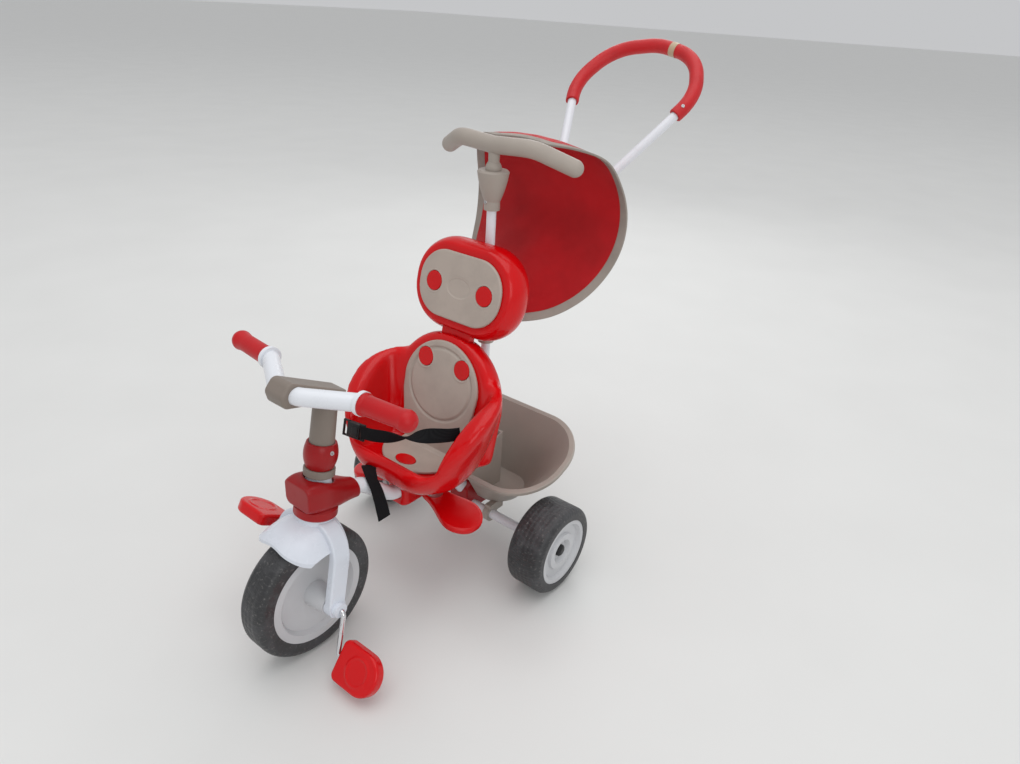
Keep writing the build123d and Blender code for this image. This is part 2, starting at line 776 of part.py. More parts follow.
with BuildPart() as mast_cup:
    with BuildSketch(Plane.XZ.shift_origin((mast_x, 0, 0))):
        with BuildLine():
            bore = mast_radius + seat_gap
            Polyline(
                (bore, cup_bottom), (cup_bottom_radius, cup_bottom), (cup_bottom_radius, cup_bottom + 16),
            )
            ThreePointArc(
                (cup_bottom_radius, cup_bottom + 16), (cup_top_radius - 4, cup_top - 24),
                (cup_top_radius, cup_top - 3),
            )
            Polyline(
                (cup_top_radius, cup_top - 3), (cup_top_radius - 3, cup_top), (shaft_radius + 1, cup_top),
                (shaft_radius + 1, cup_top - 14 + seat_gap), (bore, cup_top - 14 + seat_gap),
                (bore, cup_bottom),
            )
        make_face()
    revolve(axis=Axis((mast_x, 0, 0), (0, 0, 1)))
keep(mast_cup, "mast_cup")

with BuildPart() as steering_shaft:
    with BuildSketch(Plane.XY.offset(mast_foot + 2)):
        with Locations((mast_x, 0)):
            Circle(shaft_radius)
    extrude(amount=cup_top + shaft_reach - mast_foot)
keep(steering_shaft, "steering_shaft")


with BuildPart() as t_handle:
    with BuildLine() as t_path:
        FilletPolyline(
            (mast_x - t_sweep, t_half_width, t_height - t_drop),
            (mast_x - 4, t_shoulder, t_height + 3), (mast_x + 2, 0.0, t_height - 1),
            (mast_x - 4, -t_shoulder, t_height + 3), (mast_x - t_sweep, -t_half_width, t_height - t_drop),
            radius=t_bend,
        )
    with BuildSketch(Plane(origin=t_path.line @ 0, z_dir=t_path.line % 0)):
        Circle(t_radius)
    sweep()
    for place in (t_path.line @ 0, t_path.line @ 1):
        with Locations(place):
            Sphere(t_radius)
    with BuildSketch(Plane.XZ.shift_origin((mast_x, 0, 0))):
        with BuildLine():
            low = cup_top + face_gap
            k1 = Line((0, low), (t_neck_radius, low))
            k2 = ThreePointArc(k1 @ 1, (13.4, low + 9), (10, low + 14))
            Polyline(k2 @ 1, (11, t_height), (0, t_height), k1 @ 0)
        make_face()
    revolve(axis=Axis((mast_x, 0, 0), (0, 0, 1)))
    with BuildSketch(Plane.XY.offset(cup_top)):
        with Locations((mast_x, 0)):
            Circle(shaft_radius + seat_gap)
    extrude(amount=shaft_reach + 2 + seat_gap, mode=Mode.SUBTRACT)
keep(t_handle, "t_handle")

# ---------------------------------------------------------------- push handle


def from_pin(along):
    """Where the push pole's centre line lies, so far up it, seen from the tilt pin in the XZ plane."""
    place = push_plane.from_local_coords(Vector(0, along, 0))
    return (place.X - (mast_x - push_pin_setback), place.Z - push_pin_z)


push_knuckle_socket = from_pin(pole_start + 8)
push_knuckle_end = from_pin(pole_start + 30)

junction = push_plane.from_local_coords(Vector(0, push_pole_length, 0))
loop_plane = Plane(origin=junction, x_dir=push_plane.x_dir, z_dir=push_plane.z_dir)
up_push = Vector(push_plane.y_dir)
pole_plane = Plane(
    origin=push_plane.from_local_coords(Vector(0, pole_start, 0)), x_dir=(0, 1, 0), z_dir=up_push
)
push_pin_centre = Vector(mast_x - push_pin_setback, 0, push_pin_z)

with BuildPart() as push_clamp:
    with BuildSketch(Plane.XY.offset(push_pin_z - clamp_half_height)):
        with Locations((mast_x, 0)):
            Circle(mast_radius + clamp_wall)
    extrude(amount=2 * clamp_half_height)
    with BuildSketch(Plane.XZ.shift_origin(push_pin_centre)):
        with BuildLine():
            Polyline(
                (push_pin_setback, tongue_half_height), (0, tongue_half_height),
                (0, -tongue_half_height), (push_pin_setback, -tongue_half_height), close=True,
            )
        make_face()
        Circle(tongue_half_height)
    extrude(amount=tongue_half, both=True)
    with BuildSketch(Plane.XY.offset(push_pin_z - clamp_half_height - 2)):
        with Locations((mast_x, 0)):
            Circle(mast_radius + seat_gap)
    extrude(amount=2 * clamp_half_height + 4, mode=Mode.SUBTRACT)
    with BuildSketch(Plane.XZ.shift_origin(push_pin_centre)):
        Circle(push_pin_radius + seat_gap)
    extrude(amount=tongue_half + 1, both=True, mode=Mode.SUBTRACT)
keep(push_clamp, "push_clamp")

with BuildPart() as push_pin:
    with BuildSketch(Plane.XZ.shift_origin(push_pin_centre)):
        Circle(push_pin_radius)
    extrude(amount=cheek_face + pin_head, both=True)
    for side in (1, -1):
        with BuildSketch(Plane.XZ.offset(side * (cheek_face + face_gap)).shift_origin(
                push_pin_centre + Vector(0, -side * (cheek_face + face_gap), 0))):
            Circle(push_pin_radius + 3)
        extrude(amount=side * pin_head)
keep(push_pin, "push_pin")

with BuildPart() as push_knuckle:
    with BuildSketch(Plane.XZ.shift_origin(push_pin_centre)):
        Circle(knuckle_radius)
        with Locations(push_knuckle_socket):
            Circle(knuckle_radius + 1)
        with Locations(push_knuckle_end):
            Circle(knuckle_radius + 1)
        make_hull()
    extrude(amount=cheek_face, both=True)
    fillet(edges().filter_by(lambda e: abs(abs(e.center().Y) - cheek_face) < 0.1), 3)
    with BuildSketch(Plane.XZ.shift_origin(push_pin_centre)):
        Circle(knuckle_slot_radius)
    extrude(amount=tongue_half + face_gap, both=True, mode=Mode.SUBTRACT)
    with BuildSketch(Plane.XZ.shift_origin(push_pin_centre)):
        Circle(push_pin_radius + running_gap)
    extrude(amount=cheek_face + 1, both=True, mode=Mode.SUBTRACT)
    with BuildSketch(pole_plane):
        Circle(push_tube_radius + seat_gap)
    extrude(amount=90, mode=Mode.SUBTRACT)
keep(push_knuckle, "push_knuckle")

loop_shoulder = push_loop_height - loop_shoulder_drop
loop_crown = push_loop_height + 8
loop_points = [
    (-loop_foot_half, loop_foot), (-push_loop_half_width, loop_shoulder),
    (-push_loop_top_width / 2, loop_crown - loop_crown_rise), (0, loop_crown),
    (push_loop_top_width / 2, loop_crown - loop_crown_rise),
    (push_loop_half_width, loop_shoulder), (loop_foot_half, loop_foot),
]
foam_foot = (
    loop_foot_half + foam_share * (push_loop_half_width - loop_foot_half),
    loop_foot + foam_share * (loop_shoulder - loop_foot),
)

with BuildPart() as push_loop:
    with BuildLine(loop_plane) as loop_path:
        FilletPolyline(*loop_points, radius=loop_bend)
    with BuildSketch(Plane(origin=loop_path.line @ 0, z_dir=loop_path.line % 0)):
        Circle(push_tube_radius)
        Circle(push_tube_radius - tube_wall, mode=Mode.SUBTRACT)
    sweep()
keep(push_loop, "push_loop")
yoke_depth = push_tube_radius + 4.5

with BuildPart() as push_yoke:
    with BuildSketch(loop_plane):
        with BuildLine():
            Polyline(
                (-14, -34), (14, -34), (16, -6), (42, 46), (22, 56), (0, 34), (-22, 56), (-42, 46),
                (-16, -6), close=True,
            )
        make_face()
        fillet(vertices(), 5)
    extrude(amount=yoke_depth, both=True)
    fillet(edges().filter_by(
        lambda e: abs(abs((e.center() - junction).dot(push_plane.z_dir)) - yoke_depth) < 0.1), 3)
    with BuildSketch(pole_plane):
        Circle(push_tube_radius + seat_gap)
    extrude(amount=push_pole_length - pole_start - 6, mode=Mode.SUBTRACT)
    for side in (1, -1):
        tube_foot_place = loop_plane.from_local_coords(Vector(side * loop_foot_half, loop_foot, 0))
        shoulder_place = loop_plane.from_local_coords(Vector(side * push_loop_half_width, loop_shoulder, 0))
        run = (shoulder_place - tube_foot_place).normalized()
        with BuildSketch(Plane(origin=tube_foot_place, z_dir=run)):
            Circle(push_tube_radius + seat_gap)
        extrude(amount=90, mode=Mode.SUBTRACT)
keep(push_yoke, "push_yoke")

with BuildPart() as push_pole:
    with BuildSketch(pole_plane.offset(seat_gap)):
        Circle(push_tube_radius)
        Circle(push_tube_radius - tube_wall, mode=Mode.SUBTRACT)
    extrude(amount=push_pole_length - pole_start - 6 - 2 * seat_gap)
keep(push_pole, "push_pole")

foam_points = [
    (-foam_foot[0], foam_foot[1]), *loop_points[1:-1], foam_foot,
]

with BuildPart() as foam_grip:
    with BuildLine(loop_plane) as foam_path:
        FilletPolyline(*foam_points, radius=loop_bend)
    with BuildSketch(Plane(origin=foam_path.line @ 0, z_dir=foam_path.line % 0)):
        Circle(foam_radius)
        Circle(push_tube_radius + seat_gap, mode=Mode.SUBTRACT)
    sweep()
keep(foam_grip, "foam_grip")

# ---------------------------------------------------------------- canopy

canopy_axis = Vector(rear_axle_x + canopy_pivot_x, 0, canopy_pivot_z)

with BuildPart() as canopy_fabric:
    for ribs in (canopy_ribs[:5], canopy_ribs[4:]):
        for angle, width, rim, middle in ribs:
            with BuildSketch(across(canopy_axis.X, canopy_axis.Z, turn=90 - angle)):
                with BuildLine():
                    a1 = ThreePointArc((-width, rim), (0, middle), (width, rim))
                    a2 = Line(a1 @ 1, (width, rim - canopy_thickness))
                    a3 = ThreePointArc(
                        a2 @ 1, (0, middle - canopy_thickness), (-width, rim - canopy_thickness)
                    )
                    Line(a3 @ 1, a1 @ 0)
                make_face()
        loft()
keep(canopy_fabric, "canopy_fabric")

def canopy_place(angle, y, radius):
    """The point at this angle and radius round the canopy's centre, y to the side."""
    a = math.radians(angle)
    return canopy_axis + Vector(radius * math.cos(a), y, radius * math.sin(a))

rim_half = [canopy_place(a, w, r - canopy_thickness / 2) for a, w, r, m in canopy_ribs]
rim_points = rim_half + [Vector(p.X, -p.Y, p.Z) for p in reversed(rim_half)]

with BuildPart() as canopy_binding:
    with BuildLine() as rim_path:
        FilletPolyline(*rim_points, radius=binding_bend, close=True)
    with BuildSketch(Plane(origin=rim_path.line @ 0, z_dir=rim_path.line % 0)):
        Circle(binding_radius)
    sweep()
keep(canopy_binding, "canopy_binding")


clip_seat = canopy_place(canopy_ribs[-1][0], 0, canopy_ribs[-1][2] - canopy_thickness / 2)

with BuildPart() as canopy_clip:
    with BuildSketch(Plane.XY.offset(clip_seat.Z - 9)):
        with Locations((mast_x, 0)):
            Circle(mast_radius + 4)
        with Locations(((mast_x + clip_seat.X + binding_radius) / 2, 0)):
            Rectangle(mast_x - clip_seat.X - binding_radius, 16)
    extrude(amount=18)
    with BuildSketch(Plane.XY.offset(clip_seat.Z - 10)):
        with Locations((mast_x, 0)):
            Circle(mast_radius + seat_gap)
    extrude(amount=20, mode=Mode.SUBTRACT)
    with BuildSketch(Plane.XZ.shift_origin(clip_seat)):
        Circle(binding_radius + seat_gap)
    extrude(amount=12, both=True, mode=Mode.SUBTRACT)
keep(canopy_clip, "canopy_clip")

# ---------------------------------------------------------------- seat

def back_front_x(z):
    """Where the front face of the back stands at height z, from the rear axle."""
    return back_foot_x - rear_axle_x - (z - pan_height) * recline_sin / recline_cos


with BuildPart() as bucket_hollow:
    for i, (z, rear, front, half, corner) in enumerate(bucket_levels[1:]):
        level = pan_height if i == 0 else max(z, pan_height)
        with BuildSketch(Plane.XY.offset(level)):
            foot = back_front_x(level)
            toe = front - seat_wall if i < 2 else front + 20
            wall = min(wing_wall, seat_wall + (level - pan_height) * 0.25)
            with Locations((rear_axle_x + (foot + toe) / 2, 0)):
                RectangleRounded(toe - foot, 2 * (half - wall), hollow_corner)
    loft()

with BuildPart() as back_slab:
    with BuildSketch(back_plane):
        with BuildLine():
            spring = back_height - back_round
            Polyline(
                (-back_half_width, spring), (-back_half_width, 10), (back_half_width, 10),
                (back_half_width, spring),
            )
            ThreePointArc((-back_half_width, spring), (0, back_height), (back_half_width, spring))
        make_face()
    extrude(amount=-back_thickness)
    flat_faces = faces().filter_by(Axis((0, 0, 0), back_plane.z_dir))
    fillet(flat_faces.edges().filter_by(GeomType.CIRCLE), back_edge_round)

neck_low = back_height - neck_sink
neck_high = head_centre - head_height / 2 + neck_sink


def neck_block(grow):
    """The tongue that joins the headrest to the back, bigger by grow all round."""
    with BuildPart() as block:
        with BuildSketch(back_plane.offset(-neck_depth + grow)):
            with Locations((0, (neck_low + neck_high) / 2)):
                RectangleRounded(neck_width + 2 * grow, neck_high - neck_low + 2 * grow, 4 + grow)
        extrude(amount=-neck_depth - 2 * grow)
    return block


neck = neck_block(0)
neck_pocket = neck_block(seat_gap)
keep(neck, "neck")

with BuildPart() as seat_shell:
    for z, rear, front, half, corner in bucket_levels:
        with BuildSketch(Plane.XY.offset(z)):
            with Locations((rear_axle_x + (rear + front) / 2, 0)):
                RectangleRounded(front - rear, 2 * half, min(corner, (front - rear) / 2 - 1))
    loft()
    with BuildSketch(side_plane(0)):
        with BuildLine():
            r1 = Polyline((-100, 440), (-100, 200), (rear_axle_x + 262, 200), (rear_axle_x + 262, 270))
            r2 = Spline(
                r1 @ 1, (rear_axle_x + 236, 290), (rear_axle_x + 216, 326), (rear_axle_x + 193, 360),
                (rear_axle_x + 157, 396), (rear_axle_x + 108, 422), (rear_axle_x + 66, 436),
                (rear_axle_x + 20, 442),
            )
            Polyline(r2 @ 1, (-100, 440))
        make_face()
    extrude(amount=300, both=True, mode=Mode.INTERSECT)
    add(bucket_hollow.part, mode=Mode.SUBTRACT)
    add(back_slab.part)
    with BuildSketch(Plane.XY.offset(keel_bottom)):
        with Locations((rear_axle_x + 150, 0)):
            RectangleRounded(110, 2 * keel_half_width, 12)
    extrude(amount=pan_bottom - keel_bottom + 8)
    add(tube_room.part, mode=Mode.SUBTRACT)
    add(neck_pocket.part, mode=Mode.SUBTRACT)
keep(seat_shell, "seat_shell")

with BuildPart() as headrest_shell:
    with BuildSketch(back_plane.offset(head_forward)):
        with Locations((0, head_centre)):
            RectangleRounded(head_width - 16, head_height - 16, head_round - 8)
    with BuildSketch(back_plane.offset(head_forward - 12)):
        with Locations((0, head_centre)):
            RectangleRounded(head_width, head_height, head_round)
    with BuildSketch(back_plane.offset(head_forward - head_depth)):
        with Locations((0, head_centre)):
            RectangleRounded(head_width - 6, head_height, head_round)
    loft()
    fillet(faces().sort_by(Axis((0, 0, 0), back_plane.z_dir))[0].edges(), 10)
    with BuildSketch(Plane.XY.offset(480)):
        with Locations((mast_x, 0)):
            Circle(mast_radius + seat_gap)
    extrude(amount=250, mode=Mode.SUBTRACT)
    add(neck_pocket.part, mode=Mode.SUBTRACT)
keep(headrest_shell, "headrest_shell")

with BuildPart() as back_pad:
    with BuildSketch(back_plane.offset(seat_gap)):
        with BuildLine():
            top = back_height - pad_margin
            spring = top - pad_arch
            Polyline(
                (-pad_half, spring), (2 - pad_half, 100), (-pad_waist, 8), (pad_waist, 8),
                (pad_half - 2, 100), (pad_half, spring),
            )
            ThreePointArc((-pad_half, spring), (0, top), (pad_half, spring))
        make_face()
        with Locations((-dot_spacing / 2, dot_height), (dot_spacing / 2, dot_height)):
            Circle(dot_radius + seat_gap, mode=Mode.SUBTRACT)
    extrude(amount=pad_thickness)
    fillet(faces().sort_by(Axis((0, 0, 0), back_plane.z_dir))[-1].outer_wire().edges(), pad_round)
keep(back_pad, "back_pad")

with BuildPart() as back_dots:
    with BuildSketch(back_plane.offset(seat_gap)):
        with Locations((-dot_spacing / 2, dot_height), (dot_spacing / 2, dot_height)):
            Circle(dot_radius)
    extrude(amount=pad_thickness + 1)
    fillet(faces().sort_by(Axis((0, 0, 0), back_plane.z_dir))[-2:].edges(), 1.5)
keep(back_dots, "back_dots")

with BuildPart() as pan_pad:
    with BuildSketch(Plane.XY.offset(pan_height + seat_gap)):
        with BuildLine():
            rear = back_foot_x + pad_thickness
            widest = back_foot_x + 40
            Polyline((rear, pan_pad_root), (rear, -pan_pad_root), (widest, -pan_pad_half))
            ThreePointArc((widest, -pan_pad_half), (rear_axle_x + pan_pad_front, 0), (widest, pan_pad_half))
            Line((widest, pan_pad_half), (rear, pan_pad_root))
        make_face()
        with Locations((rear_axle_x + pan_dot_x, 0)):
            Ellipse(pan_dot_depth / 2 + seat_gap, pan_dot_width / 2 + seat_gap, mode=Mode.SUBTRACT)
    extrude(amount=pad_thickness)
    fillet(faces().sort_by(Axis.Z)[-1].outer_wire().edges(), 2)
keep(pan_pad, "pan_pad")

with BuildPart() as pan_dot:
    with BuildSketch(Plane.XY.offset(pan_height + seat_gap)):
        with Locations((rear_axle_x + pan_dot_x, 0)):
            Ellipse(pan_dot_depth / 2, pan_dot_width / 2)
    extrude(amount=pad_thickness + 1)
    fillet(faces().sort_by(Axis.Z)[-1].edges(), 1.2)
keep(pan_dot, "pan_dot")

head_front = back_plane.offset(head_forward + seat_gap)
with BuildPart() as head_pad:
    with BuildSketch(head_front):
        with Locations((0, head_centre)):
            RectangleRounded(head_pad_width, head_pad_height, head_pad_round)
        with Locations((-head_dot_spacing / 2, head_centre), (head_dot_spacing / 2, head_centre)):
            Circle(dot_radius + seat_gap, mode=Mode.SUBTRACT)
    extrude(amount=pad_thickness)
    fillet(faces().sort_by(Axis((0, 0, 0), back_plane.z_dir))[-1].outer_wire().edges(), pad_round)
    with BuildSketch(head_front.offset(pad_thickness)):
        with Locations((0, head_centre)):
            Ellipse(head_oval_width / 2, head_oval_height / 2)
    extrude(amount=-head_oval_depth, mode=Mode.SUBTRACT)
keep(head_pad, "head_pad")

with BuildPart() as head_dots:
    with BuildSketch(head_front):
        with Locations((-head_dot_spacing / 2, head_centre), (head_dot_spacing / 2, head_centre)):
            Circle(dot_radius)
    extrude(amount=pad_thickness + 1)
    fillet(faces().sort_by(Axis((0, 0, 0), back_plane.z_dir))[-2:].edges(), 1.5)
keep(head_dots, "head_dots")

# ---------------------------------------------------------------- footrests

for side, word in rear_side_names:
    tilt = math.radians(footrest_slope)
    rest_plane = Plane(
        origin=(rear_axle_x + footrest_pivot_x, side * footrest_pivot_y, footrest_height),
        x_dir=(0, side * math.cos(tilt), -math.sin(tilt)), z_dir=(0, side * math.sin(tilt), math.cos(tilt)),
    )
    with BuildPart() as footrest:
        with BuildSketch(rest_plane):
            with BuildLine():
                reach = footrest_length
                wide = footrest_width / 2
                Line((0, -footrest_root), (0, footrest_root))
                Spline(
                    (0, footrest_root), (24, footrest_root + 5), (reach - 64, wide - 5),
                    (reach - 38, wide), (reach - 8, wide * 0.6), (reach, 0),
                )
                Spline(
                    (0, -footrest_root), (24, -footrest_root - 5), (reach - 64, 5 - wide),
                    (reach - 38, -wide), (reach - 8, -wide * 0.6), (reach, 0),
                )
            make_face()
            Circle(footrest_eye_radius)
        extrude(amount=-footrest_thickness)
        fillet(edges().filter_by(GeomType.BSPLINE), 4.5)
        with BuildSketch(rest_plane):
            Circle(footrest_pin_radius + running_gap)
        extrude(amount=20, both=True, mode=Mode.SUBTRACT)
    keep(footrest, "footrest_" + word)

with BuildPart() as footrest_pins:
    for side in (1, -1):
        tilt = math.radians(footrest_slope)
        pin_plane = Plane(
            origin=(rear_axle_x + footrest_pivot_x, side * footrest_pivot_y, footrest_height),
            x_dir=(0, side * math.cos(tilt), -math.sin(tilt)),
            z_dir=(0, side * math.sin(tilt), math.cos(tilt)),
        )
        with BuildSketch(pin_plane.offset(-footrest_thickness - 3)):
            Circle(footrest_pin_radius)
        extrude(amount=footrest_thickness + 22)
        with BuildSketch(pin_plane.offset(-footrest_thickness - face_gap)):
            Circle(footrest_pin_radius + 4)
        extrude(amount=-3)
        with BuildSketch(pin_plane.offset(face_gap)):
            Circle(footrest_eye_radius - 3)
        extrude(amount=19)
    add(seat_shell.part, mode=Mode.SUBTRACT)
keep(footrest_pins, "footrest_pins")

# ---------------------------------------------------------------- tub

tub_middle = rear_axle_x + (tub_front - tub_back) / 2
tub_depth = tub_front + tub_back
tilt = math.radians(tub_tilt)
rim_plane = Plane(
    origin=(tub_middle, 0, tub_rim_height + 12), x_dir=(0, 1, 0), z_dir=(math.sin(tilt), 0, math.cos(tilt))
)

rim_depth = tub_depth / math.cos(tilt)
floor_plane = Plane(origin=(rear_axle_x - tub_floor_setback, 0, tub_floor), x_dir=(0, 1, 0), z_dir=(0, 0, 1))
with BuildPart() as tub_hollow:
    with BuildSketch(floor_plane.offset(tub_wall)):
        RectangleRounded(
            2 * (tub_floor_half - tub_wall), tub_floor_depth - 2 * tub_wall, tub_floor_corner - 3
        )
    with BuildSketch(rim_plane):
        RectangleRounded(2 * (tub_half_width - tub_wall), rim_depth - 2 * tub_wall, tub_corner - 2)
    loft()
    with BuildSketch(rim_plane):
        RectangleRounded(2 * (tub_half_width - tub_wall), rim_depth - 2 * tub_wall, tub_corner - 2)
    extrude(amount=20)
    with BuildSketch(Plane.XY):
        with Locations((mast_x + 100 - tub_notch, 0)):
            Rectangle(200 + 2 * tub_wall, 2 * (tub_notch + tub_wall))
    extrude(amount=400, mode=Mode.SUBTRACT)

with BuildPart() as tub:
    with BuildSketch(floor_plane):
        RectangleRounded(2 * tub_floor_half, tub_floor_depth, tub_floor_corner)
    with BuildSketch(rim_plane):
        RectangleRounded(2 * tub_half_width, rim_depth, tub_corner)
    loft()
    with BuildSketch(rim_plane):
        RectangleRounded(2 * (tub_half_width + tub_lip), rim_depth + 2 * tub_lip, tub_corner + tub_lip)
    extrude(amount=-tub_lip_height)
    fillet(edges().filter_by(lambda e: rim_plane.to_local_coords(e.center()).Z > -0.1), 2.5)
    with BuildSketch(Plane.XY):
        with Locations((mast_x + 100 - tub_notch, 0)):
            Rectangle(200, 2 * tub_notch)
    extrude(amount=400, mode=Mode.SUBTRACT)
    add(tub_hollow.part, mode=Mode.SUBTRACT)
    for side in (1, -1):
        with BuildSketch(Plane.XZ.offset(-side * tub_clip_y)):
            with Locations((rear_axle_x, rear_radius)):
                Circle(axle_tube_radius + 7)
            with Locations((rear_axle_x - 14, rear_radius + 12)):
                Rectangle(44, 20)
        extrude(amount=tub_clip_half, both=True)
    with BuildSketch(Plane.XZ.shift_origin(rear_hub)):
        Circle(axle_tube_radius + running_gap)
    extrude(amount=tub_clip_y + 20, both=True, mode=Mode.SUBTRACT)
keep(tub, "tub")

# ---------------------------------------------------------------- belt


def strap(name, *points):
    """A flat webbing strap: straight runs through the points, each (x, y, z) from the rear axle."""
    path_points = [Vector(rear_axle_x + x, y, z) for x, y, z in points]
    with BuildPart() as webbing:
        with BuildLine() as path:
            FilletPolyline(*path_points, radius=strap_bend)
        way = path.line % 0
        across_way = Vector(0, 0, 1).cross(way).normalized()
        with BuildSketch(Plane(origin=path.line @ 0, x_dir=across_way, z_dir=way)):
            Rectangle(strap_thickness, strap_width)
        sweep()
    keep(webbing, name)


strap("belt_left", (160, 112, 353), (180, 92, 332), (212, 40, 328), (235.2, -29.2, 318))
strap("belt_tail", (248.2, -50.2, 314), (242.5, -28, 312), (256, 4, 304), (263, 32, 270), (263, 36, 198))

with BuildPart() as belt_buckle:
    with BuildSketch(Plane(origin=(rear_axle_x + 242, -52, 316), x_dir=(0.3, -1, 0), z_dir=(1, 0.3, 0))):
        RectangleRounded(buckle_width, buckle_height, 6)
    extrude(amount=buckle_thickness / 2, both=True)
keep(belt_buckle, "belt_buckle")

os.makedirs("parts", exist_ok=True)
for piece in pieces:
    export_step(piece, "parts/" + piece.label + ".step")
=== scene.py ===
# %% [markdown]
# # A children's tricycle, dressed for rendering
#
# The tricycle's rigid pieces arrive finished in shape, each in its own node: wheels, fork, frame,
# moulded seat, tub and push handle. What is left to do here is what a paint shop, a moulding shop
# and a sewing room would do: the finish of every surface, and the cloth canopy and webbing belt
# as real soft goods. Everything is in metres, +Z up, with the origin on the floor.

# %% Load the frame
import math

import bmesh
import bpy
from mathutils import Matrix, Vector


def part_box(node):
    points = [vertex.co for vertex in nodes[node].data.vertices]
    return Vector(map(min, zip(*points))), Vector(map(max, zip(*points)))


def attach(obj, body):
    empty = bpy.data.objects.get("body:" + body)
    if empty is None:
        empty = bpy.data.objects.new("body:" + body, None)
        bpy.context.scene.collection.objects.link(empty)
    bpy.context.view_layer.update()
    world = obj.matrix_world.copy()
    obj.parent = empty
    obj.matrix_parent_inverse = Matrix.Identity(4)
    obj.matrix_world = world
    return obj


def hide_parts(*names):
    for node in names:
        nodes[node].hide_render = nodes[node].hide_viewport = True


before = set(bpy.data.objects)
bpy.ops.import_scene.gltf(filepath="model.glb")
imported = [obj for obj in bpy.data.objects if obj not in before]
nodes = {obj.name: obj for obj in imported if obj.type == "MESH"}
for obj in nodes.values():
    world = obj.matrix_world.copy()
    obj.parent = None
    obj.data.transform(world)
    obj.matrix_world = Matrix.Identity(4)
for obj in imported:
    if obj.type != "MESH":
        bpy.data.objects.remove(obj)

scene = bpy.context.scene
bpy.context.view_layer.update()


def rounded(values, places=4):
    """The values as they are printed."""
    return tuple(round(value, places) for value in values)


# %% [markdown]
# ## The camera
#
# The tricycle is looked down on from in front and to its left, from a standing adult's height. The
# lens is a wide one, close to the object, so the push handle and the front wheel are drawn with
# strong perspective. A camera looks down its own -Z axis, so its turn is built from the three
# directions it sees as right, up and back.

# %% Camera
eye = Vector((1.0615, 0.8657, 1.0555))
sight_right = Vector((-0.6209, 0.7819, 0.0566)).normalized()
sight_up = Vector((-0.3212, -0.3197, 0.8915)).normalized()
sight_back = sight_right.cross(sight_up)
camera_data = bpy.data.cameras.new("camera")
camera_data.sensor_width = 36.0
camera_data.lens = 26.34
camera = bpy.data.objects.new("camera", camera_data)
sight = Matrix((sight_right, sight_up, sight_back)).transposed().to_4x4()
camera.matrix_world = Matrix.Translation(eye) @ sight
scene.collection.objects.link(camera)
scene.camera = camera
print("camera at", rounded(eye, 3), "lens", camera_data.lens)

# %% [markdown]
# ## Floor and light
#
# A plain pale floor and large soft lamps show moulded plastic best: the lamps make broad, gentle
# reflections on the gloss, and no hard shadow hides a form. The world is a pale grey, a little
# darker where the camera, mirrors and glass see it than where it lights the tricycle, so that the
# white pieces stand out from it.

# %% A plain scene to stand in
scene.view_settings.view_transform = "Standard"

world_light = 0.70  # strength of the world where it lights the tricycle
world_seen = 0.60  # and where it is looked at
world = bpy.data.worlds.new("studio")
scene.world = world
world.use_nodes = True
sky = world.node_tree
background = sky.nodes["Background"]
rays = sky.nodes.new("ShaderNodeLightPath")
seen = rays.outputs["Is Camera Ray"]
for way in ("Is Glossy Ray", "Is Transmission Ray"):
    either = sky.nodes.new("ShaderNodeMath")
    either.operation = "MAXIMUM"
    sky.links.new(seen, either.inputs[0])
    sky.links.new(rays.outputs[way], either.inputs[1])
    seen = either.outputs[0]
level = sky.nodes.new("ShaderNodeMapRange")
level.inputs["To Min"].default_value = world_light
level.inputs["To Max"].default_value = world_seen
sky.links.new(seen, level.inputs["Value"])
sky.links.new(level.outputs["Result"], background.inputs["Strength"])
background.inputs["Color"].default_value = (0.93, 0.94, 0.96, 1.0)


def lamp(name, place, aim, width, power):
    """A square soft lamp at place, turned to face aim."""
    data = bpy.data.lights.new(name, "AREA")
    data.size = width
    data.energy = power
    holder = bpy.data.objects.new(name, data)
    turn = (Vector(aim) - Vector(place)).to_track_quat("-Z", "Y")
    holder.matrix_world = Matrix.Translation(place) @ turn.to_matrix().to_4x4()
    scene.collection.objects.link(holder)


lamp("lamp_over", (0.3, 0.2, 9.0), (0.0, 0.0, 0.3), 9.0, 330.0)
lamp("lamp_left", (1.8, 2.6, 1.8), (0.0, 0.0, 0.5), 2.0, 20.0)
lamp("lamp_behind", (-2.4, -1.2, 2.2), (0.0, 0.0, 0.6), 1.6, 16.0)


def piece_of(name, form):
    """The form as an object in the scene, under one name with its mesh. The form is used up."""
    mesh = bpy.data.meshes.new(name)
    form.to_mesh(mesh)
    form.free()
    piece = bpy.data.objects.new(name, mesh)
    scene.collection.objects.link(piece)
    return piece


floor_half = 60.0
floor_drop = 0.0005  # under the tyres, so that the two don't share a plane
ground = bmesh.new()
bmesh.ops.create_grid(ground, x_segments=1, y_segments=1, size=floor_half)
bmesh.ops.translate(ground, verts=ground.verts, vec=(0.0, 0.0, -floor_drop))
floor = piece_of("floor", ground)
print("floor", rounded(floor.dimensions, 1))

# %% [markdown]
# ## Writing finishes as sums
#
# A finish here is a sum of simple things: a grain, a scuff, a speck of dust. Node trees hide such
# sums in boxes and wires, so one small class wraps a socket and takes Python's own operators, and
# one method makes any node. Numbers go through Math nodes; colours go through Mix, since a Math
# node would turn them grey.


